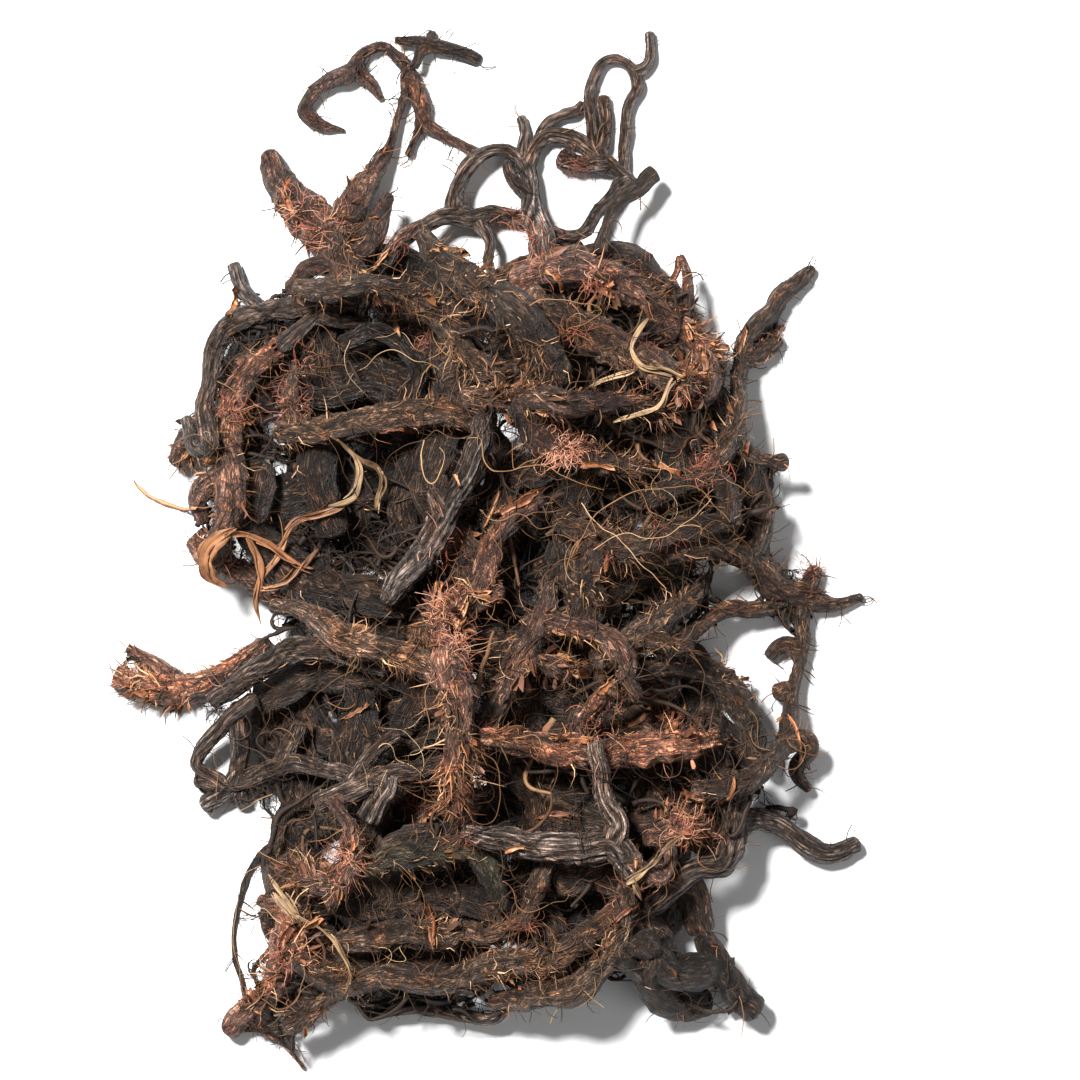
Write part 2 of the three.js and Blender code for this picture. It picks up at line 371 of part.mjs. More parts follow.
    [[3.3, -17.3, 2.7], [-4.7, -19.3, 4], [-12.7, -27.3, 5], [-12.7, -38.3, 5.7], [-10, -50.7, 5.3],
     [-9.3, -64, 5.3], [-10.3, -76.7, 5.2], [-11, -88.7, 4]],
    [[-14, -28.3, 3.3], [-18, -22.7, 2.7], [-16.7, -16.7, 2.3]],
    [[-2.7, -19, 3.7], [-2, -11.7, 3.7], [0.7, -1.7, 4.2], [7.3, 7.3, 4], [16.7, 13.3, 3.3]],
  ] },
  { name: 'rhizome_olive_root', bark: 'olive', stems: [
    [[-40.7, -109.3, 3], [-31.7, -105.3, 4.3], [-19.3, -104, 4.7], [-6.7, -103.3, 4],
     [0, -110.7, 4], [4.3, -121.7, 2.7]],
  ] },
  { name: 'rhizome_flaky_knob', bark: 'red', stems: [
    [[-51.7, -86.7, 2], [-46, -94.7, 2.7], [-46, -103.3, 4], [-48, -112, 4], [-52, -120.7, 2.7]],
    [[-48, -112, 3.3], [-54, -114, 4], [-62.7, -110.7, 4], [-69.3, -108.7, 3]],
  ] },
  { name: 'rhizome_lower_brown', bark: 'brown', stems: [
    [[-49.3, -134, 3.7], [-38.3, -132.7, 4], [-27.3, -131.3, 4.7], [-16.7, -132.7, 4.7],
     [-8, -130, 3.3]],
    [[-9.3, -130, 2.7], [-1.3, -132, 2.7], [7.3, -129.3, 3], [14, -122, 3.3], [16.7, -114, 3.3],
     [19.3, -107.3, 3]],
  ] },
  { name: 'rhizome_bottom_left_leg', bark: 'red', stems: [
    [[-87.3, -164, 3.3], [-81.3, -158, 3.7], [-74.7, -151.3, 4], [-68.7, -142.7, 4.7],
     [-66, -132.7, 5.3], [-68, -124, 4], [-76, -120, 2]],
    [[-81.3, -158.7, 0.8], [-76, -165.7, 0.67], [-70.7, -168, 0.67], [-66.3, -172, 0.67],
     [-62.7, -177.7, 0.8]],
  ] },
  { name: 'rhizome_bottom_mat', bark: 'brown', stems: [
    [[-63.3, -140, 3.3], [-48.3, -148.3, 3.7], [-32.7, -145, 3.7], [-16.7, -148.3, 4],
     [0, -141.7, 4], [18.3, -140, 4], [33.3, -133.3, 3.3]],
    [[-50, -147.7, 3], [-59.3, -156.7, 3.2], [-66.7, -162.3, 3.3]],
  ] },
  { name: 'rhizome_grey_knuckle', bark: 'grey', stems: [
    [[-7.3, -97.3, 3], [4, -99.3, 4], [17.3, -102, 4.7], [30, -102, 5], [40.7, -102, 5],
     [48.7, -110.7, 4]],
    [[40, -100.7, 4], [42.7, -94.7, 3.3], [38.7, -86.7, 3.3], [36.7, -77.3, 3], [35.3, -68.3, 2.7]],
  ] },
  { name: 'rhizome_right_low_knob', bark: 'red', stems: [
    [[53.3, -99.3, 3.3], [62, -95.3, 4.3], [66.7, -97.3, 3.3]],
    [[59.3, -98.7, 2.7], [60.7, -107.3, 2.3], [56, -112, 2.7], [49.3, -107.3, 2.3]],
  ] },];

// Dry grass blades on top of the clump, as [x, y, half width]
const blades = [
  { name: 'dry_leaf_orange', colour: 'orange', stems: [
    [[-84.7, 3.3, 1.7], [-90.7, 0, 3.3], [-94.3, -6, 4], [-92.7, -12, 3], [-87.3, -15.7, 1.3]],
    [[-86, 2.3, 1.3], [-78, 1, 1.3], [-71.7, -2.7, 1.2], [-65, -6.7, 1], [-58.7, -9.3, 1]],
    [[-80, 1.3, 1.2], [-76.7, -5.3, 1.2], [-76, -13.3, 1.2], [-77.7, -20.7, 1], [-76, -28.3, 0.87]],
    [[-76.3, -16.7, 1], [-68.3, -15, 1], [-61.7, -8.3, 1], [-56.7, -3.3, 0.87]],
    [[-76, -12, 1], [-71.3, -6.7, 1], [-68.7, -1.7, 1.2], [-64.7, 5.3, 1.2], [-53.3, 9.3, 1],
     [-42.7, 14, 1]],
  ] },
  { name: 'dry_straw_upper_left', colour: 'straw', stems: [
    [[-50.7, 33.3, 0.87], [-46, 29.3, 1], [-42.7, 23.3, 1], [-44, 16, 1], [-48.3, 12.7, 1],
     [-53.3, 11.7, 0.87]],
    [[-45.3, 28.3, 0.87], [-38, 24.7, 1], [-35.3, 20, 1], [-37.3, 14, 1.2], [-38.3, 10, 1]],
  ] },
  { name: 'dry_straw_upper_right', colour: 'straw', stems: [
    [[52.7, 74, 1], [49.3, 68.3, 1], [47.3, 62.7, 1], [50, 57.3, 1], [56.7, 55.3, 1],
     [64.7, 53, 0.87]],
    [[60.7, 54, 0.87], [58, 49.3, 0.87], [56.7, 44.7, 1], [50, 41.3, 1], [40.7, 38.7, 0.87]],
    [[50.7, 56.7, 1], [40.7, 54.3, 1], [32.7, 51.3, 0.87]],
  ] },
  { name: 'dry_straw_low_right', colour: 'straw', stems: [
    [[63.7, -98, 1], [56.7, -104, 1.1], [50, -110.7, 1.3], [45.3, -113.7, 1.3]],
    [[48, -112.3, 1], [49.3, -116.7, 1.2], [50.7, -119.3, 1]],
  ] },
  { name: 'dry_straw_low_left', colour: 'straw', stems: [
    [[-74, -111.3, 1], [-69.3, -117.7, 1.7], [-62.3, -127.3, 1.3]],
    [[-63.3, -126, 1], [-68.3, -121.7, 1], [-72.3, -116.7, 1]],
    [[-63.3, -126, 0.8], [-54, -130, 0.73], [-48.3, -138.3, 0.73], [-46, -145, 0.73],
     [-48, -150.7, 0.73]],
  ] },];

// Repeatable random numbers from 0 to 1
function seededRandom(seed) {
  let state = seed >>> 0;
  return () => {
    state = (state + 0x6d2b79f5) >>> 0;
    let t = Math.imul(state ^ (state >>> 15), 1 | state);
    t = (t + Math.imul(t ^ (t >>> 7), 61 | t)) ^ t;
    return ((t ^ (t >>> 14)) >>> 0) / 4294967296;
  };
}

// Joining and cutting of closed geometries
function solidFrom(geometry) {
  const bare = geometry.clone();
  bare.deleteAttribute('normal');
  bare.deleteAttribute('uv');
  const merged = mergeVertices(bare, 1e-4);
  const vertProperties = new Float32Array(merged.attributes.position.array);
  const triVerts = new Uint32Array(merged.index.array);
  return new wasm.Manifold(new wasm.Mesh({ numProp: 3, vertProperties, triVerts }));
}

function geometryFrom(solid) {
  const mesh = solid.getMesh();
  const geometry = new THREE.BufferGeometry();
  geometry.setAttribute('position', new THREE.BufferAttribute(mesh.vertProperties, 3));
  geometry.setIndex(new THREE.BufferAttribute(mesh.triVerts, 1));
  geometry.computeVertexNormals();
  return geometry;
}

// Points at even steps along a stem
function samplesAlong(stem) {
  const points = stem.map(([x, y, radius]) => new THREE.Vector3(x, y, radius));
  const curve = new THREE.CatmullRomCurve3(points, false, 'catmullrom', 0.5);
  const steps = Math.max(2, Math.round(curve.getLength() / sampleStep));
  return curve.getSpacedPoints(steps).map((p) => ({ x: p.x, y: p.y, size: p.z }));
}

// All the samples of one rhizome or blade, the links between them and the path of each stem through them
function skeleton(stems, measure) {
  const samples = [];
  const neighbours = [];
  const paths = stems.map((stem, number) => {
    const along = samplesAlong(stem).map(measure);
    const path = [];
    along.forEach((sample, i) => {
      if (number > 0 && i === 0) {
        const far = samples.map((s) => Math.hypot(s.x - sample.x, s.y - sample.y));
        path.push(far.indexOf(Math.min(...far)));
        return;
      }
      samples.push(sample);
      neighbours.push([]);
      const own = samples.length - 1;
      if (path.length) {
        neighbours[own].push(path[path.length - 1]);
        neighbours[path[path.length - 1]].push(own);
      }
      path.push(own);
    });
    return path;
  });
  return { samples, neighbours, paths };
}

// Lowest height of a sample's centre over the table and over what already lies there. Its thickness is its
// half height, and its breadth is what its half width has over that.
const laid = [];
function supportHeight(sample, gap, sink) {
  let height = sample.thickness - sink;
  for (const other of laid) {
    const apart = Math.hypot(sample.x - other.x, sample.y - other.y) - sample.breadth - other.breadth;
    const reach = sample.thickness + other.thickness + gap;
    if (apart < reach) height = Math.max(height, other.z + Math.sqrt(reach ** 2 - Math.max(0, apart) ** 2));
  }
  return height;
}

// Lets a stem down: it hangs between its supports like a slack cord, and its free ends droop
function layDown(bones, owner, gap, sink) {
  const floor = bones.samples.map((sample) => supportHeight(sample, gap, sink));
  let heights = [...floor];
  for (let round = 0; round < slackRounds; round += 1) {
    heights = heights.map((_, i) => {
      const near = bones.neighbours[i].map((n) => heights[n]);
      const even = near.reduce((sum, h) => sum + h, 0) / near.length;
      return Math.max(floor[i], near.length > 1 ? even : even - droop * sampleStep);
    });
  }
  bones.samples.forEach((sample, i) => Object.assign(sample, { z: heights[i], owner }));
  laid.push(...bones.samples);
}

// A closed tube through rings of corners. Each ring has a centre, two axes and a radius for each corner, and
// the first and last may have a tip beyond them. A pointed tube ends at its last centre.
function tubeThrough(rings, sides, isPointed) {
  const rows = rings.length - 1;
  const tube = new THREE.CylinderGeometry(isPointed ? 0 : 1, 1, rows, sides, rows);
  const position = tube.attributes.position;
  for (let i = 0; i < position.count; i += 1) {
    const ring = rings[Math.round(position.getY(i) + rows / 2)];
    const isOnAxis = Math.hypot(position.getX(i), position.getZ(i)) < 1e-3;
    const point = (isOnAxis && ring.tip ? ring.tip : ring.centre).clone();
    if (!isOnAxis) {
      const turn = Math.atan2(position.getX(i), position.getZ(i));
      const corner = (Math.round((turn / (2 * Math.PI)) * sides) + sides) % sides;
      const angle = (2 * Math.PI * corner) / sides;
      point.addScaledVector(ring.down, Math.cos(angle) * ring.radii[corner]);
      point.addScaledVector(ring.side, Math.sin(angle) * ring.radii[corner]);
    }
    position.setXYZ(i, point.x, point.y, point.z);
  }
  return tube;
}

// Two axes square to a direction: one as near to straight down as it can be, the other level
function axesAcross(direction) {
  const side = new THREE.Vector3(0, 0, 1).cross(direction).normalize();
  return { side, down: side.clone().cross(direction) };
}

// The samples of a path that get a ring of corners: one at each fork and bend, and the rest at even steps
function ringSpots(bones, path, ringStep) {
  const spots = path.map((i) => bones.samples[i]);
  const heading = (i) => new THREE.Vector3().subVectors(spots[i + 1], spots[i]);
  const chosen = [0];
  for (let i = 1; i < spots.length - 1; i += 1) {
    const last = chosen[chosen.length - 1];
    const isAtFork = bones.neighbours[path[i]].length > 2;
    const isDue = (i - last) * sampleStep >= ringStep - sampleStep / 2;
    const isBend = heading(i).angleTo(heading(last)) > sharpestBend;
    if (isAtFork || isDue || isBend) chosen.push(i);
  }
  return [...chosen, spots.length - 1].map((i) => spots[i]);
}

function directionAt(centres, i) {
  const ahead = centres[Math.min(i + 1, centres.length - 1)];
  const behind = centres[Math.max(i - 1, 0)];
  return new THREE.Vector3().subVectors(ahead, behind).normalize();
}

function sidesFor(spots, bark) {
  const mean = spots.reduce((sum, spot) => sum + spot.thickness, 0) / spots.length;
  if (mean < wiryStem) return 3;
  return mean < thickStem ? 4 : bark.sides;
}

// The solid of one stem, with blunt free ends or a flat broken face
function stemSolid(bones, path, bark, isFork, isCut, random) {
  const spots = ringSpots(bones, path, bark.ringStep);
  const sides = sidesFor(spots, bark);
  const centres = spots.map((spot) => new THREE.Vector3(spot.x, spot.y, spot.z));
  const rings = centres.map((centre, i) => {
    const direction = directionAt(centres, i);
    const { side, down } = axesAcross(direction);
    side.multiplyScalar(1 + spots[i].breadth / spots[i].thickness);
    const size = Math.min(spots[i].thickness, isFork && i === 0 ? spots[1].thickness : Infinity);
    const knot = size * (1 - bark.knots * random());
    const radii = Array.from({ length: sides }, (_, corner) => {
      const furrow = sides === bark.sides && corner % 2 === 1 ? bark.furrow : 0;
      const rough = corner === 0 ? 0 : roughness * random();
      return knot * (1 - rough) * (1 - furrow);
    });
    return { centre, direction, radii, side, down };
  });
  const blunt = (end, way) =>
    end.centre.clone().addScaledVector(end.direction, way * end.radii[0] * endReach);
  const last = rings[rings.length - 1];
  if (!isCut) last.tip = blunt(last, 1);
  if (!isFork) rings[0].tip = blunt(rings[0], -1);
  return solidFrom(tubeThrough(rings, sides, false));
}

// A thin root or spike as a pointed three-sided tube
function taperedSolid(points, footRadius) {
  const rings = points.map((centre, i) => {
    const radius = footRadius * (1 - rootTaper * (i / (points.length - 1)));
    return { centre, radii: [radius, radius, radius], ...axesAcross(directionAt(points, i)) };
  });
  return solidFrom(tubeThrough(rings, 3, true));
}

// Whether a thin root of one owner stays clear of everything else at a point
function isClear(point, owner, radius) {
  if (point.z < radius + tableGap) return false;
  return laid.every((other) => {
    if (other.owner === owner) return true;
    const apart = Math.max(0, Math.hypot(point.x - other.x, point.y - other.y) - other.breadth);
    return Math.hypot(apart, point.z - other.z) > other.thickness + radius + rootGap;
  });
}

// A root that leaves the stem sideways, wanders and falls, or nothing where it has no room
function rootFrom(owner, foot, ahead, random, segments, segmentLength, thickness) {
  const along = Math.atan2(ahead.y - foot.y, ahead.x - foot.x);
  let turn = along + (random() < 0.5 ? -1 : 1) * THREE.MathUtils.lerp(0.7, 1.7, random());
  let climb = THREE.MathUtils.lerp(-0.1, 1, random());
  const centre = new THREE.Vector3(foot.x, foot.y, foot.z);
  const points = [];
  const heading = () => new THREE.Vector3(
    Math.cos(turn) * Math.cos(climb), Math.sin(turn) * Math.cos(climb), Math.sin(climb));
  points.push(centre.clone().addScaledVector(heading(), foot.thickness * (1 - rootDepth)));
  centre.addScaledVector(heading(), foot.thickness);
  for (let i = 0; i < segments; i += 1) {
    centre.addScaledVector(heading(), segmentLength);
    points.push(centre.clone());
    turn += rootWander * (random() - 0.5);
    climb -= rootFall * random();
  }
  const dense = new THREE.CatmullRomCurve3(points).getSpacedPoints(segments * 3);
  if (!dense.every((p) => isClear(p, owner, thickness))) return null;
  return { points, dense };
}

// The roots and spikes of one rhizome, each kept only where it is clear of the other rhizomes
function growth(owner, bones, bark, random) {
  const solids = [];
  const own = bones.samples;
  const length = own.length * sampleStep;
  const plan = [
    { count: (bark.roots * length) / 100, segments: 3, reach: rootLength / 3, foot: rootRadius },
    { count: (bark.spikes * length) / 100, segments: 1, reach: spikeLength, foot: spikeRadius },
  ];
  plan.forEach(({ count, segments, reach, foot }) => {
    let wanted = Math.round(count);
    for (let attempt = 0; attempt < triesPerRoot * count && wanted > 0; attempt += 1) {
      const at = Math.floor(random() * own.length);
      const ahead = own[bones.neighbours[at][0]];
      const segmentLength = reach * THREE.MathUtils.lerp(0.7, 1.4, random());
      const grown = rootFrom(owner, own[at], ahead, random, segments, segmentLength, foot);
      if (!grown) continue;
      wanted -= 1;
      solids.push(taperedSolid(grown.points, foot));
      grown.dense.forEach(({ x, y, z }) => laid.push({ x, y, z, thickness: foot, breadth: 0, owner }));
    }
  });
  return solids;
}

// A blade of grass: a thin flat strip that bends over what it lies on
function bladeSolid(bones, path) {
  const spots = ringSpots(bones, path, bladeRingStep);
  const centres = spots.map((s) => new THREE.Vector3(s.x, s.y, s.z));
  const rings = centres.map((centre, i) => {
    const { side, down } = axesAcross(directionAt(centres, i));
    const thick = down.multiplyScalar(bladeThickness / 2);
    const wide = side.multiplyScalar(spots[i].breadth);
    return { centre, radii: [1, 1, 1, 1], down: thick.clone().sub(wide), side: thick.clone().add(wide) };
  });
  return solidFrom(tubeThrough(rings, 4, false));
}

const table = solidFrom(new THREE.BoxGeometry(900, 900, 40).translate(0, 0, -20));
const joined = (solids) => solids.reduce((sum, solid) => sum.add(solid));
const clump = new THREE.Group();

function addPiece(name, solid, colour, dullness) {
  const material = new THREE.MeshStandardMaterial({ color: colour, roughness: dullness, metalness: 0 });
  const mesh = new THREE.Mesh(geometryFrom(solid.subtract(table)), material);
  mesh.name = name;
  clump.add(mesh);
}

const rhizomeBones = rhizomes.map(({ bark, stems }, owner) => {
  const { broad } = barks[bark];
  const bones = skeleton(stems, ({ x, y, size }) => ({ x, y, thickness: size, breadth: size * (broad - 1) }));
  layDown(bones, owner, restGap, footWear[bark] ?? 0);
  return bones;
});

const bladeBones = blades.map(({ stems }, number) => {
  const bones = skeleton(stems, ({ x, y, size }) => ({ x, y, thickness: bladeThickness / 2, breadth: size }));
  layDown(bones, rhizomes.length + number, bladeGap, -bladeGap);
  return bones;
});

rhizomes.forEach(({ name, bark: barkName, cut = [] }, owner) => {
  const bark = barks[barkName];
  const random = seededRandom(owner + 1);
  const bones = rhizomeBones[owner];
  const stems = bones.paths.map((path, i) => stemSolid(bones, path, bark, i > 0, cut.includes(i), random));
  addPiece(name, joined([...stems, ...growth(owner, bones, bark, random)]), bark.colour, 0.9);
});

blades.forEach(({ name, colour }, number) => {
  const bones = bladeBones[number];
  addPiece(name, joined(bones.paths.map((path) => bladeSolid(bones, path))), bladeColours[colour], 0.7);
});

// The origin is at the middle of the clump's base
const extent = new THREE.Box3().setFromObject(clump);
const middle = extent.getCenter(new THREE.Vector3());
clump.position.set(-middle.x, -middle.y, -extent.min.z);

export default clump;
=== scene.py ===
import itertools
import json
import math
import bpy
import numpy as np
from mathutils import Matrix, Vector

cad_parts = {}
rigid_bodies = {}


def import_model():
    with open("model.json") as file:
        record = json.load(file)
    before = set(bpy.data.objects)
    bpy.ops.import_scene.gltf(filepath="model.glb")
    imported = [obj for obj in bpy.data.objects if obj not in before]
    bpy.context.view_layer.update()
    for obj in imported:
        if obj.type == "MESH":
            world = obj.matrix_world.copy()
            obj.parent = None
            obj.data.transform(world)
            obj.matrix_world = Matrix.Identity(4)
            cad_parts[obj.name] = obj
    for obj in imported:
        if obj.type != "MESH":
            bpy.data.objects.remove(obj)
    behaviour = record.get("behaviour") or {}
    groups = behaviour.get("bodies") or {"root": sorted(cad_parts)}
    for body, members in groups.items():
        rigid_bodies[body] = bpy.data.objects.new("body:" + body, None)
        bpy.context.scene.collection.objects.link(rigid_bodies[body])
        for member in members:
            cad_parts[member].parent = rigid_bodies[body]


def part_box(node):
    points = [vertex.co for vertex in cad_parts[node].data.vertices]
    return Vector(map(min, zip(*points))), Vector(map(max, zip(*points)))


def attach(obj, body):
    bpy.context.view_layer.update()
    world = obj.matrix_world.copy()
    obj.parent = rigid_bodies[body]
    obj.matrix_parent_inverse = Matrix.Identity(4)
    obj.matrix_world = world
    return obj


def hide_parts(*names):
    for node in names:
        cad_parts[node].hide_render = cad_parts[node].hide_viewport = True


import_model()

for leftover in [o for o in bpy.context.scene.objects if o.name in ("Cube", "Light", "Camera")]:
    bpy.data.objects.remove(leftover)
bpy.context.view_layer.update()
mm = 0.001

# A clump of dried nutgrass rhizomes seen from above, +Y towards its thin curling end.
# The solids of the frame settle each rhizome's place. Here the same stems are laid down again by the same
# rule and get their bark, scars, broken ends and fibres. Lengths are in millimetres until a mesh is made.

laying = {
    "sampleStep": 3.0,        # spacing of the points along a stem
    "curveSteps": 200,
    "restGap": 0.9,           # air where one rhizome lies on another
    "tableWear": {"dark": 0.9},     # how far the lowest stems are worn flat
    "droop": 0.25,            # fall of a free end for each millimetre
    "slackRounds": 60,        # how often the stems settle
    "broad": {"dark": 1.5},   # width over thickness, because of matted fibres
    "bladeThickness": 0.9,
    "bladeGap": 0.5,
}

